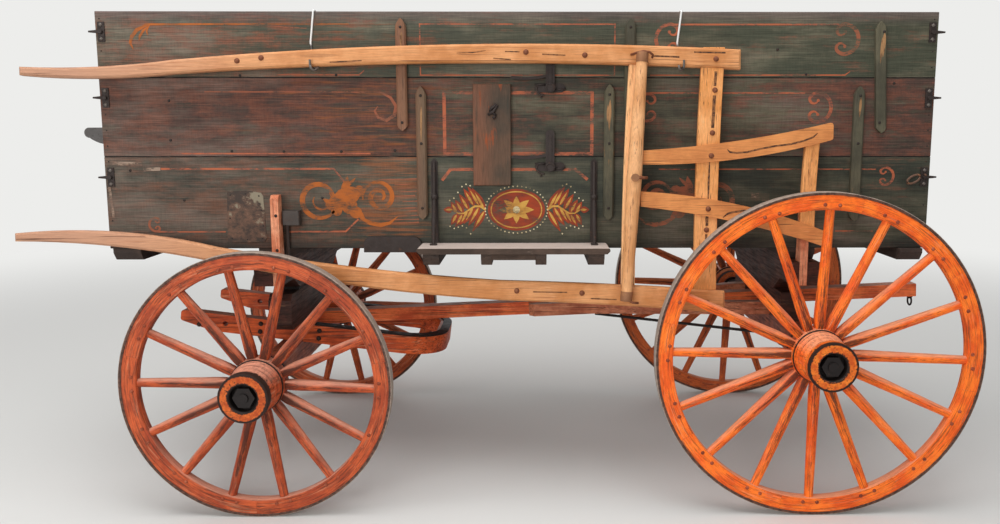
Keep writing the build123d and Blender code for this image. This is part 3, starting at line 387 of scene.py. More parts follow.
salmon["sides_upper"] += stroke([(0.26, 0.371), (0.70, 0.371), (1.03, 0.371)],
                                [thin_line, fine_line, thin_line])
salmon["sides_upper"] += stroke([(2.11, 0.603), (2.71, 0.603)], thin_line)
salmon["sides_upper"] += c_scroll((2.757, 0.548), 0.056, -1, 0.014)
salmon["sides_upper"] += c_scroll((2.105, 0.548), 0.052, 1, 0.012)
salmon["sides_lower"] += stroke([(1.305, 0.267), (1.339, 0.3095), (1.824, 0.3095), (1.873, 0.270)],
                                thick_line * 0.9)
salmon["sides_lower"] += stroke([(0.215, 0.312), (0.885, 0.312), (0.925, 0.262)], thin_line * 1.2)
salmon["sides_lower"] += stroke([(0.186, 0.066), (0.455, 0.066)], fine_line)
salmon["sides_lower"] += stroke([(0.698, 0.066), (0.925, 0.067), (0.976, 0.116)], thin_line)
salmon["sides_lower"] += stroke([(2.15, 0.310), (3.00, 0.310)], fine_line)
salmon["sides_lower"] += c_scroll((3.035, 0.283), 0.034, -1, 0.010)
salmon["sides_lower"] += stroke([(2.85, 0.067), (3.00, 0.067)], fine_line)
for level, first, last in ((0.270, 1.050, 1.207), (0.250, 1.120, 1.205), (0.236, 1.130, 1.212),
                           (0.222, 1.140, 1.205), (0.205, 1.120, 1.200), (0.184, 1.150, 1.212),
                           (0.158, 1.140, 1.212), (0.146, 1.160, 1.210), (0.128, 1.130, 1.213),
                           (0.112, 1.060, 1.213), (0.100, 1.100, 1.213)):
    faded["sides_lower"] += stroke([(first, level), (last, level + 0.003)], [0.002, 0.0055])
gold["sides_lower"] += double_volute(0.922, 1)
faded["sides_lower"] += double_volute(2.278, -1) + c_scroll((0.185, 0.095), 0.027, 1, 0.009)
faded["sides_top"] += stroke([(0.55, 0.858), (0.80, 0.845)], [0.002, 0.004])
# Spots where the paint has flaked off pale
flaked = [((0.030, 0.333), (0.146, 0.331), 0.015), ((0.148, 0.309), (0.214, 0.312), 0.013),
          ((2.514, 0.203), (2.586, 0.201), 0.030), ((0.008, 0.300), (0.022, 0.120), 0.010)]


def painted(name, shapes, material, lift):
    """Flat painted shapes on both outer faces of the box, a hair proud of the wood."""
    verts = []
    faces = []
    for side in (-1, 1):
        for n, shape in enumerate(shapes):
            first = len(verts)
            out = board_y + lift + n % 24 * 0.00002
            verts += [(box_low.x + x, side * out, box_low.z + z) for x, z in shape]
            faces.append(tuple(range(first, first + len(shape))))
    piece = make_object(name, verts, faces, material, "wagon", smooth=False)
    tidy = bmesh.new()
    tidy.from_mesh(piece.data)
    for face in tidy.faces:
        if face.normal.y * (1 if face.calc_center_median().y > 0 else -1) < 0:
            face.normal_flip()
    tidy.to_mesh(piece.data)
    tidy.free()
    return piece


def line_paint(name, look, fresh, dulled, kept):
    """Brushed line paint over a board: kept is the share of it that is still there."""
    material, tree, place = new_material(name)
    board, height, _ = board_colour(tree, place, look)
    clouds = stretched(tree, place, (90, 90, 40), 5.5, 5.0)
    flakes = stretched(tree, place, (16, 14, 3.5), 8.5, 7.0, 0.75)
    paint = coat(tree, fresh, dulled, clouds, 0.38, 0.62)
    level = 0.86 + 0.3 * kept
    colour = coat(tree, paint, board, total_of(tree, clouds, flakes), level - 0.06, level + 0.08, 0.10, 0.92)
    matt_shader(tree, colour, height, 0.62)
    return material


# Columns: material, piece, strokes, fresh and dulled colour, share that is left, and height over the wood
for kind, piece, strokes, fresh, dulled, kept, lift in (
        ("line_paint_", "stripes_", salmon, "#B4603F", "#965440", 0.66, 0.0004),
        ("gold_paint_", "scrolls_", gold, "#B25E20", "#905024", 0.74, 0.0006),
        ("faded_paint_", "faded_lines_", faded, "#9C583E", "#84543E", 0.6, 0.0005)):
    for node_name, shapes in strokes.items():
        paint = line_paint(kind + node_name, LOOKS[node_name], fresh, dulled, kept)
        painted(piece + node_name, shapes, paint, lift)
# Painted shadow of the open seams between the boards: a nearly black strip, with paler crumbs of dirt
seam_shadow_and_dirt, tree, place = new_material("painted_seam_shadow_and_dirt")
crumbs = stretched(tree, place, (60, 9, 9), 3.0, 5.0)
matt_shader(tree, coat(tree, "#1E1A18", "#4A3E36", crumbs, 0.5, 0.68), crumbs, 0.8)
seams = [quad for z in (0.3595, 0.6610) for quad in stroke([(0.004, z), (3.206, z)], 0.0036)]
painted("board_seams", seams, seam_shadow_and_dirt, 0.0003)
bare_spots = line_paint("flaked_paint_edges", LOOKS["sides_lower"], "#A08A78", "#84604E", 0.42)
painted("flaked_spots", [quad for a, b, wide in flaked for quad in stroke([a, b], wide)], bare_spots, 0.0012)

# Painted medallion between the step straps: a plain rosette in an oval with leaf sprays, in
# red-brown, gold and cream enamels.
badge = (1.595, 0.152)
red_shapes = [tuple(oval(badge, 0.112, 0.082, 36))]
gold_shapes = []
cream_shapes = disc(badge, 0.014)
for tip in oval(badge, 0.070, 0.054, 8):
    gold_shapes += leaf(badge, tip, 0.026)
gold_shapes += stroke(oval(badge, 0.099, 0.071, 36, 1), 0.005)
for dot in oval(badge, 0.122, 0.092, 45):
    cream_shapes += disc(dot, 0.0028, 8)
for face in (-1, 1):
    stem = [(badge[0] + face * (0.120 + 0.130 * n / 6),
             badge[1] + 0.016 * math.sin(math.pi * n / 3)) for n in range(7)]
    gold_shapes += stroke(stem, [0.009 - 0.0008 * n for n in range(7)])
    for n, (x, z) in enumerate(stem[:-1]):
        reach = 0.086 - 0.008 * n
        for way in (1, -1):
            red_shapes += leaf((x, z), (x + face * reach * 0.62, z + way * reach), 0.026)
            gold_shapes += leaf((x + face * 0.006, z + way * 0.005),
                                (x + face * reach * 0.5, z + way * reach * 0.8), 0.010)
            cream_shapes += disc((x + face * reach * 0.70, z + way * reach * 1.10), 0.003, 8)
    red_shapes += leaf(stem[-1], (stem[-1][0] + face * 0.036, stem[-1][1]), 0.026)
    gold_shapes += leaf(stem[-1], (stem[-1][0] + face * 0.028, stem[-1][1]), 0.010)
# Enamels: brighter than the lines, because they have hardly flaked
for name, shapes, fresh, dulled, kept, lift in (
        ("red", red_shapes, "#A03C1C", "#7E3220", 0.95, 0.0004),
        ("gold", gold_shapes, "#D2A04A", "#AE7834", 0.95, 0.0010),
        ("cream", cream_shapes, "#E2D6B0", "#C4AE80", 0.9, 0.0015)):
    enamel = line_paint(name + "_enamel", LOOKS["sides_lower"], fresh, dulled, kept)
    painted("medallion_" + name, shapes, enamel, lift)

# Side cleats. Half-round oak strips, painted olive with the box and bolted through it; hands and
# ropes have rubbed the paint back to bare tan wood in places.


def sky_facing_dust_and_sheen(tree, low, high, most):
    """How far a surface faces the sky, where dust and bleaching show, with a painted highlight from the sky
    lamp.
    """
    z = add(tree, "SeparateXYZ", (add(tree, "NewGeometry").outputs["Normal"],)).outputs["Z"]
    return add(tree, "MapRange", (z, low, high, 0.0, most), **soft_step)


def dressed_wood(name, dark, light, bare, grime, grain, bare_share, gloss=0.6, along_x=None, top=None,
                 cracks=0.0):
    """Painted or varnished wood. Grain is the size in mm of one streak along X, Y and Z; along_x is (from,
    to, colour, share) of a colour that comes in along X, and top is a paler one for what faces the sky:
    dust and bleaching, with a painted highlight."""
    material, tree, place = new_material(name)
    clouds = stretched(tree, place, (170, 170, 170), 2.0, 6.0)
    lines = stretched(tree, place, grain, 4.0, 8.0, 0.7)
    fine = stretched(tree, place, [max(g / 4, 2.0) for g in grain], 9.0, 5.0, 0.7)
    colour = coat(tree, dark, light, clouds, 0.36, 0.64)
    if along_x:
        begins, full, other, most = along_x
        x = add(tree, "SeparateXYZ", (place,)).outputs["X"]
        colour = coat(tree, colour, other, x, begins, full, 0.0, most)
    colour = coat(tree, colour, grime, lines, 0.52, 0.74, 0.0, 0.8)
    rubbed = total_of(tree, stretched(tree, place, [g * 0.7 for g in grain], 15.0, 8.0, 0.72),
                      stretched(tree, place, (120, 120, 120), 6.0, 4.0))
    colour = coat(tree, colour, bare, rubbed, 1.20 - bare_share, 1.34 - bare_share)
    if top:
        # Paler faces to the sky: dust and bleaching, and a painted highlight
        colour = add(tree, "Mix", (sky_facing_dust_and_sheen(tree, 0.4, 0.9, 0.85), colour, top), data_type="RGBA")
    if cracks:
        split = stretched(tree, place, [g * (1.3 if g > 60 else 0.55) for g in grain], 21.0, 2.0)
        colour = coat(tree, colour, "#5A3A28", split, 0.70 - cracks, 0.73 - cracks, 0.0, 0.8)
    tone = add(tree, "MapRange", (fine, 0.28, 0.72, 0.78, 1.12), **soft_step)
    shaded = add(tree, "VectorMath", (colour, tone), operation="SCALE")
    rough = add(tree, "MapRange", (clouds, 0.3, 0.7, gloss - 0.08, gloss + 0.1), **soft_step)
    matt_shader(tree, shaded, fine, rough)
    return material


def dress(node_name, material, width=0.0015):
    """Gives a CAD node its finish, and rounds its sharp edges by a width in metres, as wear does."""
    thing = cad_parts[node_name]
    thing.data.materials.clear()
    thing.data.materials.append(material)
    if width:
        weld = thing.modifiers.new("join", "WELD")
        weld.merge_threshold = 0.00002
        bevel = thing.modifiers.new("worn_edges", "BEVEL")
        bevel.width = width
        bevel.segments = 2
        bevel.limit_method = "ANGLE"
        bevel.angle_limit = math.radians(32)
        bevel.harden_normals = True


worn_brown = (box_low.x + 1.33, box_low.x + 1.13, "#8A5E46", 0.85)
dress("box_cleats", dressed_wood("olive_painted_oak", "#4A473A", "#5F5A48", "#9A6E42", "#35312A",
                                 (9, 9, 120), -0.01,
                                 along_x=worn_brown), 0.0025)
dress("gate_cleats", dressed_wood("green_painted_pine", "#414B43", "#4B554C", "#6B5846", "#33322D",
                                  (9, 9, 160), 0.0))

cleat_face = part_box("box_cleats")[1].y - board_y
bare_oak = dressed_wood("rubbed_bare_oak", "#8E6844", "#A87E56", "#B98E62", "#5A4634", (9, 9, 60), 0.0,
                        cracks=0.1)
streaks_on = [leaf((x, z), (x - 0.003, z - long), wide)[0] for x, z, long, wide in
              ((1.956, 0.578, 0.120, 0.012), (1.948, 0.560, 0.070, 0.007), (2.997, 0.830, 0.095, 0.014),
               (2.989, 0.812, 0.100, 0.008), (2.919, 0.588, 0.080, 0.010), (1.162, 0.830, 0.060, 0.010),
               (1.232, 0.560, 0.150, 0.008))]
painted("rubbed_cleat_streaks", streaks_on, bare_oak, cleat_face + 0.0005)

# Centre plank. One unpainted oak board on each side, gone dark brown with weather and streaked
# with rust from the fittings above it; a small iron clip is fixed to it.
dress("centre_planks",
      dressed_wood("weathered_oak_plank", "#463C32", "#614A3B", "#8E4A2C", "#33362E", (16, 16, 210),
                                    0.07, 0.66, (box_low.x + 1.53, box_low.x + 1.44, "#7C523E", 0.75),
                   cracks=0.03),
      0.0015)

# Patched corner. A sheet of tarred tin nailed over the lower board in front of the near stake, dull
# brown-black and chalky at its corners where the tar has flaked; the far side has one like it.
patch_tin, tree, place = new_material("tarred_tin_patch")
x, _, z = add(tree, "SeparateXYZ", (place,)).outputs
blots = stretched(tree, place, (46, 46, 34), 31.0, 8.0, 0.72)
flecks = stretched(tree, place, (13, 13, 10), 33.0, 8.0, 0.75)
high = add(tree, "MapRange", (z, box_low.z + 0.10, box_low.z + 0.22, 0.0, 0.17), **soft_step)
edge = add(tree, "MapRange", (x, box_low.x + 0.55, box_low.x + 0.605, 0.0, 0.10), **soft_step)
colour = coat(tree, "#453A34", "#6E5344", blots, 0.4, 0.62)
colour = coat(tree, colour, "#3C3A34", flecks, 0.50, 0.66, 0.0, 0.7)
colour = coat(tree, colour, "#8E8672", total_of(tree, blots, high, edge), 0.66, 0.74, 0.0, 0.85)
matt_shader(tree, colour, flecks, 0.7)


def skin(first, rows, around, wrapped=False):
    """Quads between rows of points, each row closed on itself; wrapped also joins the last to the first."""
    quads = []
    for m in range(rows if wrapped else rows - 1):
        here = first + m * around
        there = first + (m + 1) % rows * around
        quads += [(here + n, here + (n + 1) % around, there + (n + 1) % around, there + n)
                  for n in range(around)]
    return quads


tin_t = 0.0022
outline = [(0.468, 0.224), (0.540, 0.228), (0.600, 0.219), (0.608, 0.205), (0.615, 0.042), (0.606, 0.028),
           (0.540, 0.024), (0.462, 0.027)]
verts = []
faces = []
for side in (-1, 1):
    first = len(verts)
    for out in (0.0, tin_t):
        verts += [(box_low.x + x, side * (board_y + out), box_low.z + z) for x, z in outline]
    faces.append(tuple(range(first + 8, first + 16)))
    faces += skin(first, 2, 8)
make_object("tin_patch", verts, faces, patch_tin, "wagon", smooth=False)

# Box irons. Forged and rolled wrought iron, once painted black, now a dull brown-black with a
# fine rust bloom: rods with their plates, latches, straps, rub irons and the blocks by the stakes.


def iron(name, dark, rust, share, rough=0.62):
    """Old black iron with a rust bloom; share moves how much rust shows."""
    material, tree, place = new_material(name)
    bloom = stretched(tree, place, (26, 26, 26), 3.0, 6.0, 0.7)
    pits = stretched(tree, place, (4, 4, 4), 6.0, 3.0)
    colour = coat(tree, dark, rust, bloom, 0.66 - share, 0.8 - share)
    bump = add(tree, "Bump", {"Height": pits, "Strength": 0.4, "Distance": 0.0008})
    gloss = add(tree, "MapRange", (bloom, 0.3, 0.7, rough - 0.12, rough + 0.15), **soft_step)
    shade = add(tree, "BsdfPrincipled", {"Base Color": colour, "Normal": bump, "Metallic": 0.4,
                                         "Specular IOR Level": 0.3, "Roughness": gloss})
    add(tree, "OutputMaterial", (shade,))
    return material


black_iron = iron("black_wrought_iron", "#3C3431", "#5E463B", 0.08)
dress("stake_clips", iron("grey_clip_iron", "#4C4541", "#6E5C50", 0.1), 0.0014)
for node_name in ("end_rods", "latches", "step_braces", "rub_irons"):
    dress(node_name, black_iron, 0.0014)


def studs(name, spots, radius, height, material, body, sides=12):
    """Domed bolt heads: spots are points with the way they face."""
    verts = []
    faces = []
    for point, normal in spots:
        turn = Vector(normal).to_track_quat("Z", "Y").to_matrix()
        first = len(verts)
        for ring_r, ring_h in ((1.0, 0.0), (0.92, 0.45), (0.62, 0.85)):
            for x, y in oval((0, 0), ring_r * radius, ring_r * radius, sides):
                verts.append(Vector(point) + turn @ Vector((x, y, ring_h * height)))
        verts.append(Vector(point) + turn @ Vector((0, 0, height)))
        faces += skin(first, 3, sides)
        faces += [(first + 2 * sides + n, first + 2 * sides + (n + 1) % sides, first + 3 * sides)
                  for n in range(sides)]
    make_object(name, verts, faces, material, body)


def on_side(x, z, out, side):
    """A point out from the box's outer face, x from the front end and z from the underside."""
    return (box_low.x + x, side * (board_y + out), box_low.z + z)


plank_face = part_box("centre_planks")[1].y - board_y
plate_t = 0.0052
side_bolts = []
small_nails = []
square_nuts = []
for side in (-1, 1):
    away = (0, side, 0)
    # Cleats: distance from the front end, and the heights of their bolts
    for x, heights in ((1.158, (0.848, 0.490)), (2.031, (0.848, 0.490)), (2.995, (0.832, 0.490)),
                       (1.230, (0.592, 0.410, 0.160)), (1.954, (0.596, 0.410, 0.160)),
                       (2.917, (0.592, 0.410, 0.150))):
        side_bolts += [(on_side(x, z, cleat_face, side), away) for z in heights]
    # Carriage bolts through the boards: distance from the front end and height
    for x, z in ((0.262, 0.573), (0.260, 0.423), (0.494, 0.381), (0.695, 0.379), (0.917, 0.379),
                 (1.125, 0.383), (0.837, 0.199), (0.097, 0.306), (0.300, 0.190), (0.906, 0.670),
                 (2.597, 0.767), (2.710, 0.674), (3.052, 0.640), (1.232, 0.256), (2.360, 0.66),
                 (0.539, 0.668)):
        side_bolts.append((on_side(x, z, 0.0, side), away))
    small_nails += [(on_side(x, z, 0.0, side), away) for x in (0.016, 3.194)
                    for z in (0.05, 0.11, 0.17, 0.23, 0.29, 0.34, 0.40, 0.46, 0.52, 0.60, 0.70, 0.76, 0.88)]
    small_nails += [(on_side(x, z, tin_t, side), away) for x, z in
                    ((0.480, 0.21), (0.539, 0.215), (0.591, 0.207), (0.598, 0.15), (0.603, 0.09),
                     (0.598, 0.04),
                     (0.539, 0.036), (0.480, 0.04), (0.475, 0.12))]
    square_nuts += [(on_side(x, z + dz, plate_t, side), away) for x in (0.022, 3.188)
                    for z in (0.280, 0.584, 0.831) for dz in (-0.026, 0.026)]
bolt_iron = iron("bolt_iron", "#37302C", "#553E32", 0.08)
studs("side_bolts", side_bolts, 0.0055, 0.0032, bolt_iron, "wagon")
studs("edge_nails", small_nails, 0.0032, 0.0010, bolt_iron, "wagon", sides=8)
studs("rod_plate_nuts", square_nuts, 0.0085, 0.0060, iron("dull_nut_iron", "#6A625C", "#5A463A", 0.06, 0.5),
      "wagon",
      sides=4)

# Latch ratchets and small irons: cast teeth round the latch boss, the hasp on the lowest rear rod,
# and the twisted clip on the plank, all bare iron.


def bars(name, runs, material):
    """Several round bars as one piece: runs are (points, radius), and both ends of a bar are closed."""
    sides = 10
    verts = []
    faces = []
    for points, radius in runs:
        first = len(verts)
        last = len(points) - 1
        for n, point in enumerate(points):
            run = (Vector(points[min(n + 1, last)]) - Vector(points[max(n - 1, 0)])).normalized()
            turn = run.to_track_quat("Z", "Y").to_matrix()
            verts += [Vector(point) + turn @ Vector((x, y, 0))
                      for x, y in oval((0, 0), radius, radius, sides)]
        faces += skin(first, last + 1, sides)
        faces.append(tuple(first + k for k in reversed(range(sides))))
        faces.append(tuple(first + last * sides + k for k in range(sides)))
    make_object(name, verts, faces, material, "wagon")


boss_x = 1.726
boss_drop = 0.039
boss_r = 0.0145
latch_runs = []
latch_teeth = []
for side in (-1, 1):
    for seam in (0.359, 0.661):
        boss_z = seam - boss_drop
        ring = [on_side(x, z, 0.0292, side) for x, z in oval((boss_x, boss_z), boss_r, boss_r, 20, 1)]
        latch_runs.append((ring, 0.0024))
        # The bars beside the boss: each end's distance along, up and out from the boss, and the radius
        for ends, radius in ((((-0.057, 0.012, 0.008), (-0.020, 0.012, 0.012)), 0.004),
                             (((0.020, -0.009, 0.010), (0.060, -0.003, 0.008)), 0.0045)):
            latch_runs.append(([on_side(boss_x + x, boss_z + z, out, side) for x, z, out in ends], radius))
        for n in range(9):
            a = math.radians(150 + 15 * n)
            latch_teeth.append((on_side(boss_x - 0.026 + 0.026 * math.cos(a),
                                        boss_z - 0.004 + 0.024 * math.sin(a),
                                        0.006, side), (0, side, 0)))
        latch_teeth.append((on_side(boss_x - 0.034, boss_z - 0.036, 0.002, side), (0, side, 0)))
bars("latch_ratchet_bars", latch_runs, black_iron)
tooth_iron = iron("cast_tooth_iron", "#4A403B", "#6A5244", 0.06)
studs("latch_ratchet_teeth", latch_teeth, 0.0045, 0.0055, tooth_iron, "wagon", sides=8)
hasp_runs = []
clip_runs = []
link_x = 3.140
link_z = 0.272
link_tip = 0.5
for side in (-1, 1):
    # An oval link that hangs from the lowest rod's end, tipped along the board
    link = [on_side(link_x + along * math.cos(link_tip) - up * math.sin(link_tip),
                    link_z + along * math.sin(link_tip) + up * math.cos(link_tip), 0.022, side)
            for along, up in oval((0, 0), 0.027, 0.013, 24, 1)]
    hasp_runs.append((link, 0.0045))
    hasp_runs.append(([on_side(3.188, 0.290, 0.004, side), on_side(3.186, 0.288, 0.024, side)], 0.004))
    # The twisted clip on the plank, and its tail
    twist = [(1.506 + 0.011 * math.sin(n * 0.9), 0.506 + 0.0060 * n, 0.005 + 0.002 * math.cos(n * 0.9))
             for n in range(10)]
    for points in (twist, ((1.488, 0.520, 0.003), (1.507, 0.530, 0.010), (1.524, 0.556, 0.004))):
        clip_runs.append(([on_side(x, z, plank_face + out, side) for x, z, out in points], 0.0055))
bars("rear_hasp_links", hasp_runs, iron("rusty_link_iron", "#6A5042", "#9A6848", 0.12))
bars("plank_clips", clip_runs, black_iron)

# Side steps, sills and floor. Grey weathered pine steps, bleached and dusty on top, with a painted
# highlight on their top faces; the sills under the box are painted dark, as painted shade, the foot
# board is smoky with old paint, and the floor is bare.
# The steps' top faces: dust and bleaching, and a painted highlight
dress("side_steps", dressed_wood("weathered_pine", "#41342C", "#58473D", "#7E6C60", "#3A2E27", (150, 9, 9),
                                 0.0, 0.75,
                                 top="#D0C0B6", cracks=0.02), 0.003)
# Painted shade: the sills are painted dark for the shade under the box, with dirt along the grain
dress("cross_sills", dressed_wood("shade_darkened_pine", "#3E342F", "#54463E", "#6E5E54", "#2E2724", (14, 140, 14),
                                  -0.04, 0.75),
      0.002)
dress("foot_board", dressed_wood("smoky_painted_pine", "#54514F", "#6C6866", "#6B625A", "#2E2C2A",
                                 (14, 150, 14), -0.04,
                                 0.6), 0.002)
dress("floor_boards", dressed_wood("bare_pine_floor", "#7A6250", "#8E7560", "#A08770", "#5C4738",
                                   (260, 12, 12), 0.05,
                                   0.75), 0.001)

# Gates. The same wide green boards as the sides, standing between cleats, held by the cross rods.
gate_paint = dressed_wood("chalky_gate_paint", "#3E4338", "#4E5044", "#6A5040", "#38342F", (20, 300, 12),
                          0.06, 0.66)
dress("front_gate", gate_paint)
dress("tail_gate", gate_paint)

# Gear timbers. Oak bolsters, hounds, axles and reach, painted orange-red. Road dirt has darkened
# them in streaks, the paint is chipped to the wood, and what faces the sky is bleached and dusty,
# with a painted highlight. The timbers in shade under the box are painted darker, as painted shade,
# and the reach brighter, as painted light.


def gear_paint(name, deep, bright, dirt, grain, dirt_share=0.0, field=None, top=None, turned=0.0, pale=0.5):
    """Orange-red gear paint, mottled, chipped and dirty along the grain, with its share of pale worn streaks.
    Field names the mesh field that holds the grain's directions; turned is for the hubs, and says how far
    out in metres their nose turns black."""
    material, tree, place = new_material(name, field)
    clouds = stretched(tree, place, (120, 90, 90), 3.0, 7.0, 0.65)
    lines = stretched(tree, place, grain, 5.0, 8.0, 0.72)
    chips = stretched(tree, place, [max(g * 0.6, 3.5) for g in grain], 8.0, 8.0, 0.78)
    streaks = stretched(tree, place, [g * 1.4 for g in grain], 12.0, 7.0, 0.7)
    colour = coat(tree, deep, bright, clouds, 0.38, 0.62)
    colour = coat(tree, colour, dirt, lines, 0.56 - dirt_share, 0.69 - dirt_share, 0.0, 0.85)
    colour = coat(tree, colour, "#E0A27C", streaks, 0.54, 0.70, 0.0, pale)
    if field:
        # The mesh's wear field: chipped paint, and on the spokes' sides painted shade as well
        wear = add(tree, "Attribute", attribute_name="wear").outputs["Fac"]
        colour = coat(tree, colour, "#3E2219", total_of(tree, chips, wear), 0.61, 0.68, 0.0, 0.9)
    else:
        colour = coat(tree, colour, "#3E2219", chips, 0.62, 0.70, 0.0, 0.9)
    if top:
        # Paler faces to the sky: dust and bleaching, and a painted highlight
        colour = add(tree, "Mix", (sky_facing_dust_and_sheen(tree, 0.2, 0.9, 0.72), colour, top), data_type="RGBA")
    if turned:
        spot = add(tree, "Attribute", attribute_name="turned").outputs["Vector"]
        out, radius, _ = add(tree, "SeparateXYZ", (spot,)).outputs
        blots = stretched(tree, place, (26, 26, 26), 17.0, 7.0, 0.72)
        ragged = add(tree, "MapRange", (blots, 0.3, 0.7, -0.026, 0.026), **soft_step)
        colour = coat(tree, colour, "#3A2A22", total_of(tree, out, ragged), turned, turned + 0.010)
        scored = add(tree, "Math", (out, 0.01425), operation="PINGPONG")
        broken = add(tree, "MapRange", (blots, 0.4, 0.6, 0.0, 0.002), **soft_step)
        colour = coat(tree, colour, "#3E241B", total_of(tree, scored, broken), 0.0028, 0.0010, 0.0, 0.85)
        # Painted shade: near black deep in the recess round the nut
        throat = add(tree, "MapRange", (radius, 0.0555, 0.0525), **soft_step)
        inwards = add(tree, "MapRange", (out, 0.10, 0.11), **soft_step)
        deep_in = add(tree, "Math", (throat, inwards), operation="MULTIPLY")
        colour = add(tree, "Mix", (deep_in, colour, "#1C1512"), data_type="RGBA")
    tone = add(tree, "MapRange", (chips, 0.3, 0.62, 0.72, 1.30), **soft_step)
    shaded = add(tree, "VectorMath", (colour, tone), operation="SCALE")
    rough = add(tree, "MapRange", (lines, 0.35, 0.7, 0.45, 0.7), **soft_step)
    matt_shader(tree, shaded, chips, rough, 0.0012)
    return material


across_grain = (70, 170, 9)
along_grain = (220, 12, 8)
upright_grain = (8, 8, 110)
# Columns: material, paints (deep, bright, dirt), grain, shares of dirt and of pale streaks, colour of what
# faces the sky (dust with a painted highlight), and the timbers. The cross, axle and front hound paints
# are darkened as painted shade, and the reach's paint is brightened as painted light
for name, colours, grain, dirt_share, pale, top, timbers in (
        ("shade_darkened_gear_paint_cross", ("#34201A", "#4C2A20", "#261B17"), across_grain, 0.06, 0.12, None,
         ("bolsters", "sand_board", "rear_riser")),
        ("shade_darkened_gear_paint_axles", ("#70382A", "#985034", "#3A241C"), across_grain, 0.06, 0.3, None,
         ("front_axle", "rear_axle")),
        ("light_brightened_gear_paint_long", ("#C0502A", "#E4723E", "#5C3422"), along_grain, 0.05, 0.5, "#B88872",
         ("reach",)),
        ("shade_darkened_gear_paint_hounds", ("#A4401E", "#CC5828", "#4E2A1C"), along_grain, 0.06, 0.5, "#A8745C",
         ("front_hounds",)),
        ("dusty_gear_paint_hounds", ("#A2583C", "#C8805E", "#5A3426"), along_grain, 0.05, 0.5, "#C8A08C",
         ("rear_hounds",)),
        ("pink_orange_stake_paint", ("#C0704E", "#E09C78", "#6E3C2C"), upright_grain, 0.03, 0.5, None,
         ("stakes",))):
    paint = gear_paint(name, *colours, grain, dirt_share, top=top, pale=pale)
    for node_name in timbers:
        dress(node_name, paint, 0.003)
gear_iron = iron("gear_iron", "#2C2624", "#54382C", 0.1)
for node_name in ("bolster_irons", "front_irons", "king_bolt", "gear_braces", "pull_ring"):
    dress(node_name, gear_iron, 0.001)

# Gear bolts. Round-headed bolts that hold the hounds and their bow together, and small ones in the
# feet of the stakes.
hound_face = 0.2662
front_bolts = []
slope = math.radians(7.1)
axle_x = (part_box("front_axle")[0].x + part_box("front_axle")[1].x) / 2
hound_mid_z = 0.504 + 0.049 + 0.038
for side in (-1, 1):
    for along in (-0.395, -0.135, 0.115, 0.300, 0.375):
        for lift in (-0.016, 0.018) if along < 0.2 else (0.0,):
            front_bolts.append(((axle_x + along * math.cos(slope) + lift * math.sin(slope), side * hound_face,
                                 hound_mid_z - along * math.sin(slope) + lift * math.cos(slope)),
                                (0, side, 0)))
studs("hound_bolts", front_bolts, 0.0105, 0.008, iron("hound_bolt_iron", "#3A2A24", "#6A4232", 0.12),
      "front_gear")
stake_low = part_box("stakes")[0]
stake_bolts = [((stake_low.x + 0.021, side * -stake_low.y, z), (0, side, 0)) for side in (-1, 1)
               for z in (1.119, 0.985)]
studs("stake_bolts", stake_bolts, 0.0065, 0.0025, gear_iron, "wagon")

# Wheels. Turned hubs with shrunk-on iron bands, oak spokes driven in and tenoned into sawn ash
# felloes, two spokes to each, and a plain iron tyre shrunk over them. Orange-red paint, lined
# with road dirt; the near front wheel has weathered redder than the rear one.


def at_radius(centre, r, a, out):
    """A point of a wheel from its radius, its angle from upright and its distance along the axle."""
    return (centre.x + r * math.sin(a), centre.y + out, centre.z + r * math.cos(a))


def grained(name, verts, faces, fields, material, body, angle=40):
    """A mesh piece with fields such as its grain directions kept on its points, and outward faces."""
    piece = make_object(name, verts, faces, material, body)
    for label, values in fields.items():
        if isinstance(values[0], float):
            piece.data.attributes.new(label, "FLOAT", "POINT").data.foreach_set("value", values)
        else:
            field = piece.data.attributes.new(label, "FLOAT_VECTOR", "POINT")
            field.data.foreach_set("vector", [c for v in values for c in v])
    tidy = bmesh.new()
    tidy.from_mesh(piece.data)
    bmesh.ops.recalc_face_normals(tidy, faces=tidy.faces)
    for edge in tidy.edges:
        edge.smooth = len(edge.link_faces) == 2 and edge.calc_face_angle(0.0) < math.radians(angle)
    tidy.to_mesh(piece.data)
    tidy.free()
    return piece


def turned_piece(name, profile, centre, side, material, body, count=72):
    """A piece turned round the axle: profile is (radius, distance outwards) in metres."""
    verts = []
    grain = []
    turned = []
    for a in [2 * math.pi * n / count for n in range(count)]:
        for r, out in profile:
            verts.append(at_radius(centre, r, a, side * out))
            grain.append((out + centre.x * 3, r * math.cos(a) + centre.y, r * math.sin(a)))
            turned.append((out, r, 0.0))
    fields = {"grain": grain, "turned": turned, "wear": [0.0] * len(verts)}
    return grained(name, verts, skin(0, count, len(profile), wrapped=True), fields, material, body)


def spoke_section(share):
    """Thickness, width and squareness of a spoke at a share of its length."""
    # Columns: share, thickness along the rim, width along the axle, squareness
    table = ((0.0, 0.032, 0.044, 5.0), (0.07, 0.039, 0.048, 3.0), (0.15, 0.045, 0.050, 1.55),
             (0.35, 0.0415, 0.0455, 1.5), (0.6, 0.0375, 0.038, 1.8), (1.0, 0.033, 0.033, 2.0))
    for low, high in zip(table, table[1:]):
        if share <= high[0]:
            t = (share - low[0]) / (high[0] - low[0])
            t = t * t * (3 - 2 * t)
            return [a + (b - a) * t for a, b in zip(low[1:], high[1:])]
    return table[-1][1:]


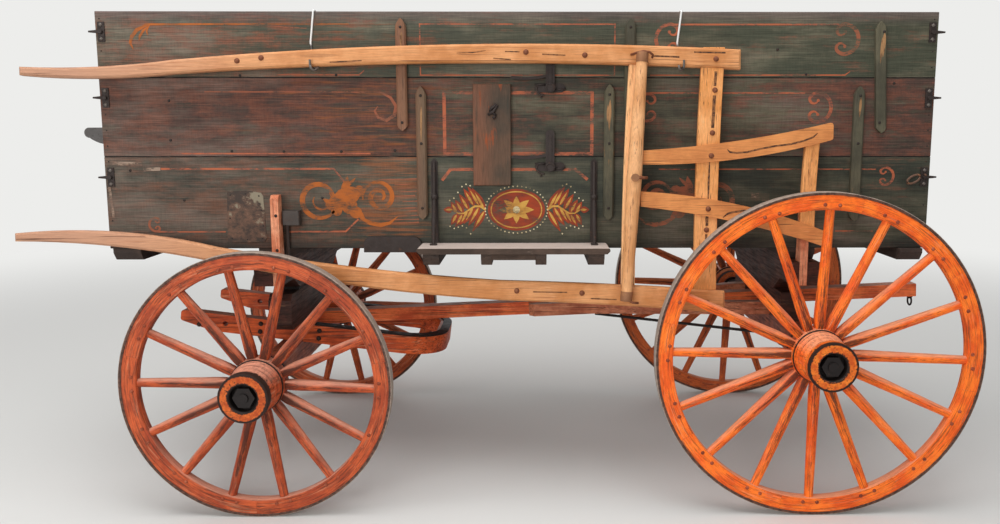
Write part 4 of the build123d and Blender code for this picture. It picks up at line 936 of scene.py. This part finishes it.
hub_profile = [(0.0322, -0.122), (0.082, -0.122), (0.082, -0.086), (0.088, -0.080), (0.096, -0.068),
               (0.0995, -0.064), (0.1015, -0.050), (0.102, -0.028), (0.1015, -0.006), (0.0995, 0.008),
               (0.097, 0.012), (0.0962, 0.016), (0.0975, 0.020), (0.0965, 0.026), (0.0940, 0.040),
               (0.0928, 0.0415), (0.0930, 0.0445), (0.0935, 0.046), (0.0910, 0.068), (0.0898, 0.070),
               (0.0900, 0.0735), (0.0903, 0.0750), (0.089, 0.095), (0.0875, 0.118), (0.087, 0.124),
               (0.0875, 0.1615), (0.085, 0.1625), (0.054, 0.1625), (0.0495, 0.158), (0.049, 0.127),
               (0.0322, 0.127)]
# Columns: name of the ring, its section, and whether it is bare iron
hub_rings = (
    ("nose_band", [(0.0865, 0.1248), (0.0900, 0.1252), (0.0905, 0.1275), (0.0905, 0.1600), (0.0892, 0.1627),
                   (0.0860, 0.1627)], False),
    ("heel_band", [(0.0795, -0.1215), (0.0835, -0.1205), (0.0840, -0.088), (0.0795, -0.087)], True),
    ("spoke_band_in", [(0.0955, -0.0690), (0.0990, -0.0685), (0.1015, -0.0645), (0.0985, -0.0635)], True),
    ("spoke_band_out", [(0.0990, 0.0075), (0.1012, 0.0080), (0.0995, 0.0125), (0.0965, 0.0122)], True),
    ("hub_face", [(0.0545, 0.1620), (0.0548, 0.1628), (0.0855, 0.1628), (0.0862, 0.1620)], False))

tyre_t = 0.011
felloe_depth = 0.055
half_w = 0.023
dish = 0.028
tang = 0.006


def wheel(name, phase, count, band_from, colours, dirt_share, top):
    """One wheel's wood and rivets, over the frame's own tyre and skein."""
    body = name + "_wheel"
    low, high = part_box(name + "_tyre")
    centre = (low + high) / 2
    side = -1 if centre.y < 0 else 1
    pitch = 360 / count
    outer_r = (high.z - low.z) / 2 - tyre_t
    inner_r = outer_r - felloe_depth
    rng = random.Random(count * 10 + side)
    paint = gear_paint("wheel_paint_" + name, *colours, (110, 6, 6), dirt_share, "grain", top, pale=0.4)
    hub_paint = gear_paint("hub_paint_" + name, *colours, (60, 12, 12), dirt_share - 0.02, "grain", top,
                           band_from)

    hub = turned_piece(name + "_turned_hub", hub_profile, centre, side, hub_paint, body)
    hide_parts(name + "_hub")
    for label, section, bare in hub_rings:
        turned_piece(name + "_" + label, section, centre, side,
                     gear_iron if bare else nose_paints[band_from], body)

    verts = []
    faces = []
    grain = []
    wear = []
    rings = 18
    around = 20
    start = 0.0992
    end = inner_r + tang
    for s in range(count):
        angle = math.radians(phase + pitch * s)
        radial = Vector((math.sin(angle), 0, math.cos(angle)))
        along_rim = Vector((math.cos(angle), 0, -math.sin(angle)))
        offset = (s * 0.37, rng.random() * 3, rng.random() * 3)
        chipped = rng.uniform(0.3, 1.0)
        first = len(verts)
        for m in range(rings + 1):
            share = m / rings
            thick, wide, square = spoke_section(share)
            middle = centre + radial * (start + (end - start) * share)
            middle = middle + Vector((0, side * -dish * (1 - share), 0))
            for n in range(around):
                a = 2 * math.pi * n / around
                c = math.copysign(abs(math.cos(a)) ** (2 / square), math.cos(a)) * thick / 2
                d = math.copysign(abs(math.sin(a)) ** (2 / square), math.sin(a)) * wide / 2
                verts.append(middle + along_rim * c + Vector((0, d, 0)))
                grain.append((share * 0.5 + offset[0], c + offset[1], d + offset[2]))
                # Chipped paint on the spoke's faces, most near the hub; the last term darkens its sides along
                # the rim, dirt with painted shade
                wear.append(0.31 * chipped * abs(math.sin(a)) ** 5 * (1 - share) ** 0.5
                            + 0.05 * (1 - share) ** 3 + 0.10 * chipped * abs(math.cos(a)) ** 6)
        faces += skin(first, rings + 1, around)
        faces.append(tuple(first + n for n in range(around)))
        faces.append(tuple(first + rings * around + n for n in range(around)))
    spoke_set = grained(name + "_driven_spokes", verts, faces, {"grain": grain, "wear": wear}, paint, body,
                        60)
    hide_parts(name + "_spokes")

    verts = []
    faces = []
    grain = []
    wear = []
    ease = 0.006
    # Columns of the felloe's section: radius, distance outwards, and how much paint its edge has lost
    section = [(outer_r, -half_w, 0.10), (outer_r, half_w, 0.10), (outer_r - 0.008, half_w, 0.0),
               (inner_r + ease + 0.004, half_w, 0.0), (inner_r + ease, half_w, 0.05),
               (inner_r + ease * 0.3, half_w - ease * 0.3, 0.08), (inner_r, half_w - ease, 0.02),
               (inner_r, -half_w + ease, 0.0), (inner_r + ease * 0.3, -half_w + ease * 0.3, 0.05),
               (inner_r + ease, -half_w, 0.0)]
    steps = 22
    gap = 0.0003 / outer_r
    for s in range(count // 2):
        a0 = math.radians(phase + pitch * (2 * s + 0.5)) + gap
        a1 = math.radians(phase + pitch * (2 * s + 2.5)) - gap
        tilt = rng.uniform(-0.012, 0.012)
        first = len(verts)
        for m in range(steps + 1):
            a = a0 + (a1 - a0) * m / steps
            for r, out, lost in section:
                verts.append(at_radius(centre, r, a, side * out))
                grain.append((a * outer_r + centre.x, r + centre.y + tilt, out + tilt))
                wear.append(lost)
        rows = len(section)
        faces += skin(first, steps + 1, rows)
        faces.append(tuple(first + n for n in range(rows)))
        faces.append(tuple(first + steps * rows + n for n in range(rows)))
    rim = grained(name + "_sawn_felloes", verts, faces, {"grain": grain, "wear": wear}, paint, body,
                  35)
    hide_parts(name + "_felloe")

    spots = []
    for s in range(count):
        for step in (-0.027, 0.027):
            r = inner_r + 0.018 + rng.uniform(-0.003, 0.003)
            a = math.radians(phase + pitch * s) + step / r
            spots += [(at_radius(centre, r, a, face * half_w), (0, face, 0)) for face in (-1, 1)]
    studs(name + "_rivets", spots, 0.0072, 0.0042, rivet_paint, body)


greasy_iron = iron("greasy_black_iron", "#262120", "#4A3A30", 0.06, 0.4)
rivet_paint = gear_paint("painted_rivet_iron", "#7A3824", "#9C4C30", "#42241A", (6, 6, 6), 0.02)
dress("front_skeins", greasy_iron, 0.001)
dress("rear_skeins", greasy_iron, 0.001)
# Paint of the hub noses: brighter, and speckled with grease and grit toward the axle's end
nose_paints = {}
for band_from, deep, bright in ((0.120, "#A8441C", "#D4682A"), (0.144, "#C8541C", "#F0802C")):
    nose_paints[band_from], tree, place = new_material("speckled_nose_paint_%d" % (band_from * 1000), "grain")
    spot = add(tree, "Attribute", attribute_name="turned").outputs["Vector"]
    out, radius, _ = add(tree, "SeparateXYZ", (spot,)).outputs
    specks = stretched(tree, place, (9, 9, 9), 2.0, 8.0, 0.78)
    patches = stretched(tree, place, (30, 30, 30), 5.0, 6.0, 0.7)
    colour = coat(tree, deep, bright, patches, 0.38, 0.62)
    rim = add(tree, "MapRange", (radius, 0.0785, 0.0865), **soft_step)
    end = add(tree, "MapRange", (out, band_from, band_from + 0.012, 0.0, 0.30), **soft_step)
    outer = add(tree, "Math", (rim, end), operation="MULTIPLY")
    inner = add(tree, "MapRange", (radius, 0.061, 0.0545, 0.0, 0.16), **soft_step)
    blotchy = add(tree, "MapRange", (patches, 0.3, 0.7, -0.05, 0.05), **soft_step)
    dirty = total_of(tree, specks, outer, inner, blotchy)
    matt_shader(tree, coat(tree, colour, "#2E1E18", dirty, 0.55, 0.63), specks, 0.55)

# Columns: wheel, turn of its first spoke from upright in degrees, spokes, how far out the nose's dark band
# starts in metres, paints (deep, bright, dirt), share of dirt, and the pale colour of what faces the sky,
# bleaching and dust with a painted highlight
wheels = (("front_near", 14.56, 14, 0.120, ("#9C4024", "#BE562E", "#5A3022"), 0.08, "#CE947C"),
          ("front_far", 14.56, 14, 0.120, ("#A04826", "#C25A2E", "#4A2A20"), 0.06, "#B87A5C"),
          ("rear_near", 1.74, 16, 0.144, ("#E0581C", "#F87A28", "#8A4020"), 0.06, "#D89A78"),
          ("rear_far", 1.74, 16, 0.120, ("#A84C28", "#C4602E", "#4A2A20"), 0.05, "#C07A54"))
for row in wheels:
    wheel(*row)

# Tyres. Flat iron hoops: the tread is ground pale by the road, and the edges are brown with rust.
for name in [row[0] for row in wheels]:
    low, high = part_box(name + "_tyre")
    centre = (low + high) / 2
    radius = (high.z - low.z) / 2
    road_iron, tree, place = new_material("road_worn_tyre_" + name)
    from_axle = add(tree, "VectorMath", (place, tuple(centre)), operation="SUBTRACT")
    flat = add(tree, "VectorMath", (from_axle, (1.0, 0.0, 1.0)), operation="MULTIPLY")
    reach = add(tree, "VectorMath", (flat,), operation="LENGTH")
    scuffs = stretched(tree, place, (16, 5, 16), 2.0, 5.0, 0.7)
    worn = coat(tree, "#8E7C70", "#B4A496", scuffs, 0.35, 0.65)
    rusty = coat(tree, "#42302A", "#6A4A3C", scuffs, 0.4, 0.6)
    colour = coat(tree, rusty, worn, reach, radius - 0.0035, radius - 0.0008)
    bump = add(tree, "Bump", {"Height": scuffs, "Strength": 0.3, "Distance": 0.0008})
    shade = add(tree, "BsdfPrincipled", {"Base Color": colour, "Normal": bump, "Metallic": 0.25,
                                         "Specular IOR Level": 0.3, "Roughness": 0.6})
    add(tree, "OutputMaterial", (shade,))
    dress(name + "_tyre", road_iron, 0.0015)

# Shafts. Bent ash rails, cross bars and arms, varnished and gone honey-orange, the tips paler and
# pinker from weather, with drying cracks; coach bolts hold every joint.
tip_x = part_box("shaft_low_rail")[0].x
pale_tip = (tip_x + 1.2, tip_x + 0.15, "#BE9076", 0.9)
rail_wood = dressed_wood("varnished_ash_rails", "#C4804A", "#DC9C68", "#DEAA7E", "#9C5A34", (300, 10, 7),
                         0.01, 0.5,
                         along_x=pale_tip, cracks=0.05)
# Painted light: the bars are paler in front of x 0.52, which takes in the first cross bar in the tree's shade
bar_wood = dressed_wood("varnished_ash_bars", "#D88E4E", "#F0AA6C", "#E6B886", "#A26034", (10, 10, 240), 0.0,
                        0.5,
                        along_x=(0.62, 0.52, "#FCC48C", 0.85), cracks=0.05)
arm_wood = dressed_wood("varnished_ash_arms", "#C87E48", "#E09456", "#DAA67A", "#96582E", (240, 10, 7), 0.0,
                        0.5,
                        cracks=0.05)
# Painted light: the tree is given a paler wood than the rails to make up for its shaded side
tree_wood = dressed_wood("turned_ash_tree", "#D29460", "#EAB07C", "#E0BA8C", "#94623E", (8, 8, 240), 0.02,
                         0.5,
                         cracks=0.07)
dress("shaft_top_rail", rail_wood, 0.004)
dress("shaft_low_rail", rail_wood, 0.004)
dress("shaft_arms", arm_wood, 0.004)
dress("shaft_cross_bars", bar_wood, 0.004)
dress("singletree", tree_wood, 0)
dress("tree_irons", iron("dull_ferrule_iron", "#94684A", "#B07C54", 0.14), 0.001)
shaft_lean = math.atan2(0.059, 0.875)
shaft_drop = 0.182
rail_out = 0.022
bar_out = 0.014
shaft_y = -0.557
shaft_z = 1.892 - shaft_drop


def on_shafts(x, drop, out):
    """A point on the shafts: x in the frame, drop below the box's top edge, and way out of their plane."""
    down = shaft_drop - drop
    return (x, shaft_y - out * math.cos(shaft_lean) + down * math.sin(shaft_lean),
            shaft_z + out * math.sin(shaft_lean) + down * math.cos(shaft_lean))


# Bolts of the shafts: x, height below the box's top edge, and which timber's face
shaft_bolts = [(-0.994, 0.191, rail_out), (-0.904, 0.180, rail_out), (0.086, 0.158, rail_out),
               (0.307, 0.169, rail_out), (0.800, 0.183, rail_out), (0.050, 1.058, rail_out),
               (0.299, 1.067, rail_out), (0.472, 1.080, rail_out), (0.778, 1.105, rail_out),
               (0.799, 0.298, bar_out), (0.790, 0.459, rail_out), (0.787, 0.545, rail_out),
               (0.778, 0.746, rail_out), (0.774, 0.826, bar_out)]
shaft_front = (0, -math.cos(shaft_lean), math.sin(shaft_lean))
rusty_bolt = iron("rusty_bolt_iron", "#7A4A34", "#A06C4C", 0.14)
studs("shaft_bolts", [(on_shafts(*spot), shaft_front) for spot in shaft_bolts], 0.0105, 0.007, rusty_bolt,
      "wagon")

# Drying cracks: along the broad upright bar, in the arms, and short ones in the top rail
crack_lines = [([(0.802, 0.228), (0.7985, 0.283)], 0.007, bar_out),
               ([(0.7975, 0.318), (0.792, 0.440)], 0.008, bar_out),
               ([(0.7825, 0.560), (0.78, 0.640), (0.7785, 0.728)], 0.006, bar_out),
               ([(0.7765, 0.764), (0.775, 0.812)], 0.007, bar_out),
               ([(0.7735, 0.842), (0.771, 0.880)], 0.006, bar_out),
               ([(0.846, 0.520), (0.857, 0.531), (0.882, 0.534), (0.923, 0.531), (0.971, 0.519),
                 (1.03, 0.508), (1.089, 0.501), (1.136, 0.489), (1.172, 0.475), (1.188, 0.460)], 0.0045,
                rail_out),
               ([(0.834, 0.779), (0.852, 0.764), (0.868, 0.759), (0.915, 0.752), (0.963, 0.761)], 0.005,
                rail_out),
               ([(-0.174, 0.162), (-0.113, 0.160), (-0.064, 0.153)], 0.003, rail_out),
               ([(0.008, 0.156), (0.062, 0.157)], 0.003, rail_out),
               ([(-0.036, 0.181), (0.03, 0.186)], 0.003, rail_out),
               ([(0.147, 0.166), (0.234, 0.170)], 0.003, rail_out),
               ([(0.562, 0.172), (0.662, 0.176)], 0.004, rail_out),
               ([(0.717, 0.158), (0.835, 0.160)], 0.004, rail_out),
               ([(-0.648, 0.196), (-0.528, 0.190)], 0.003, rail_out),
               ([(0.112, 1.062), (0.242, 1.064)], 0.003, rail_out),
               ([(0.332, 1.088), (0.432, 1.092)], 0.003, rail_out)]
verts = []
faces = []
for points, width, out in crack_lines:
    last = len(points) - 1
    widths = [width * (1.5 if 0 < n < last or last == 1 else 0.6) for n in range(last + 1)]
    for quad in stroke([(x, -drop) for x, drop in points], widths):
        faces.append(tuple(range(len(verts), len(verts) + 4)))
        verts += [on_shafts(x, -z, out + 0.0003) for x, z in quad]
# Bare wood inside the cracks: dark and rough, with honey-coloured crumbs
crack_wood, tree, place = new_material("open_crack_in_ash")
crumbs = stretched(tree, place, (12, 12, 12), 3.0, 6.0)
matt_shader(tree, coat(tree, "#4A3226", "#8A5C3A", crumbs, 0.42, 0.6), crumbs, 0.8)
make_object("shaft_cracks", verts, faces, crack_wood, "wagon", smooth=False)

# Singletree irons. A strap round its middle under the bolt, and the hooks at its ends that
# take the horse's traces.
strap_r = 0.0305
hook_r = 0.0045
strap = []
for n in range(13):
    a = math.radians(180 + 15 * n)
    strap.append(on_shafts(0.5090 + strap_r * math.cos(a), 0.628, 0.045 - strap_r * math.sin(a)))
bars("singletree_strap", [(strap, 0.006)], rusty_bolt)
hooks = (((0.480, 0.168, 0.026), (0.500, 0.164, 0.050), (0.522, 0.160, 0.060), (0.545, 0.163, 0.058),
          (0.558, 0.172, 0.050), (0.556, 0.184, 0.046)),
         ((0.470, 1.090, 0.050), (0.490, 1.100, 0.052), (0.512, 1.102, 0.050)))
bars("trace_hooks", [([on_shafts(*spot) for spot in hook], hook_r) for hook in hooks], rusty_bolt)

# Hook rods. Round rods bent over the side's top edge to carry the shafts; the bright part is
# galvanised, the hooks at the foot are bare and dark.
zinc, tree, place = new_material("galvanised_rod")
z = add(tree, "SeparateXYZ", (place,)).outputs["Z"]
colour = coat(tree, "#5E5A56", "#E2E1DE", z, box_high.z - 0.130, box_high.z - 0.118)
shade = add(tree, "BsdfPrincipled", {"Base Color": colour, "Metallic": 0.3, "Roughness": 0.45})
add(tree, "OutputMaterial", (shade,))
dress("hook_rods", zinc, 0)
foot = ((0.006, 0.196, -0.004), (0.004, 0.214, 0.006), (-0.003, 0.225, 0.018), (-0.010, 0.226, 0.028),
        (-0.016, 0.219, 0.034), (-0.018, 0.208, 0.035))
feet = [([on_shafts(x + along, drop, out) for along, drop, out in foot], hook_r) for x in (-0.700, 0.676)]
bars("hook_feet", feet, iron("bare_hook_iron", "#6E6660", "#8E8074", 0.1, 0.5))
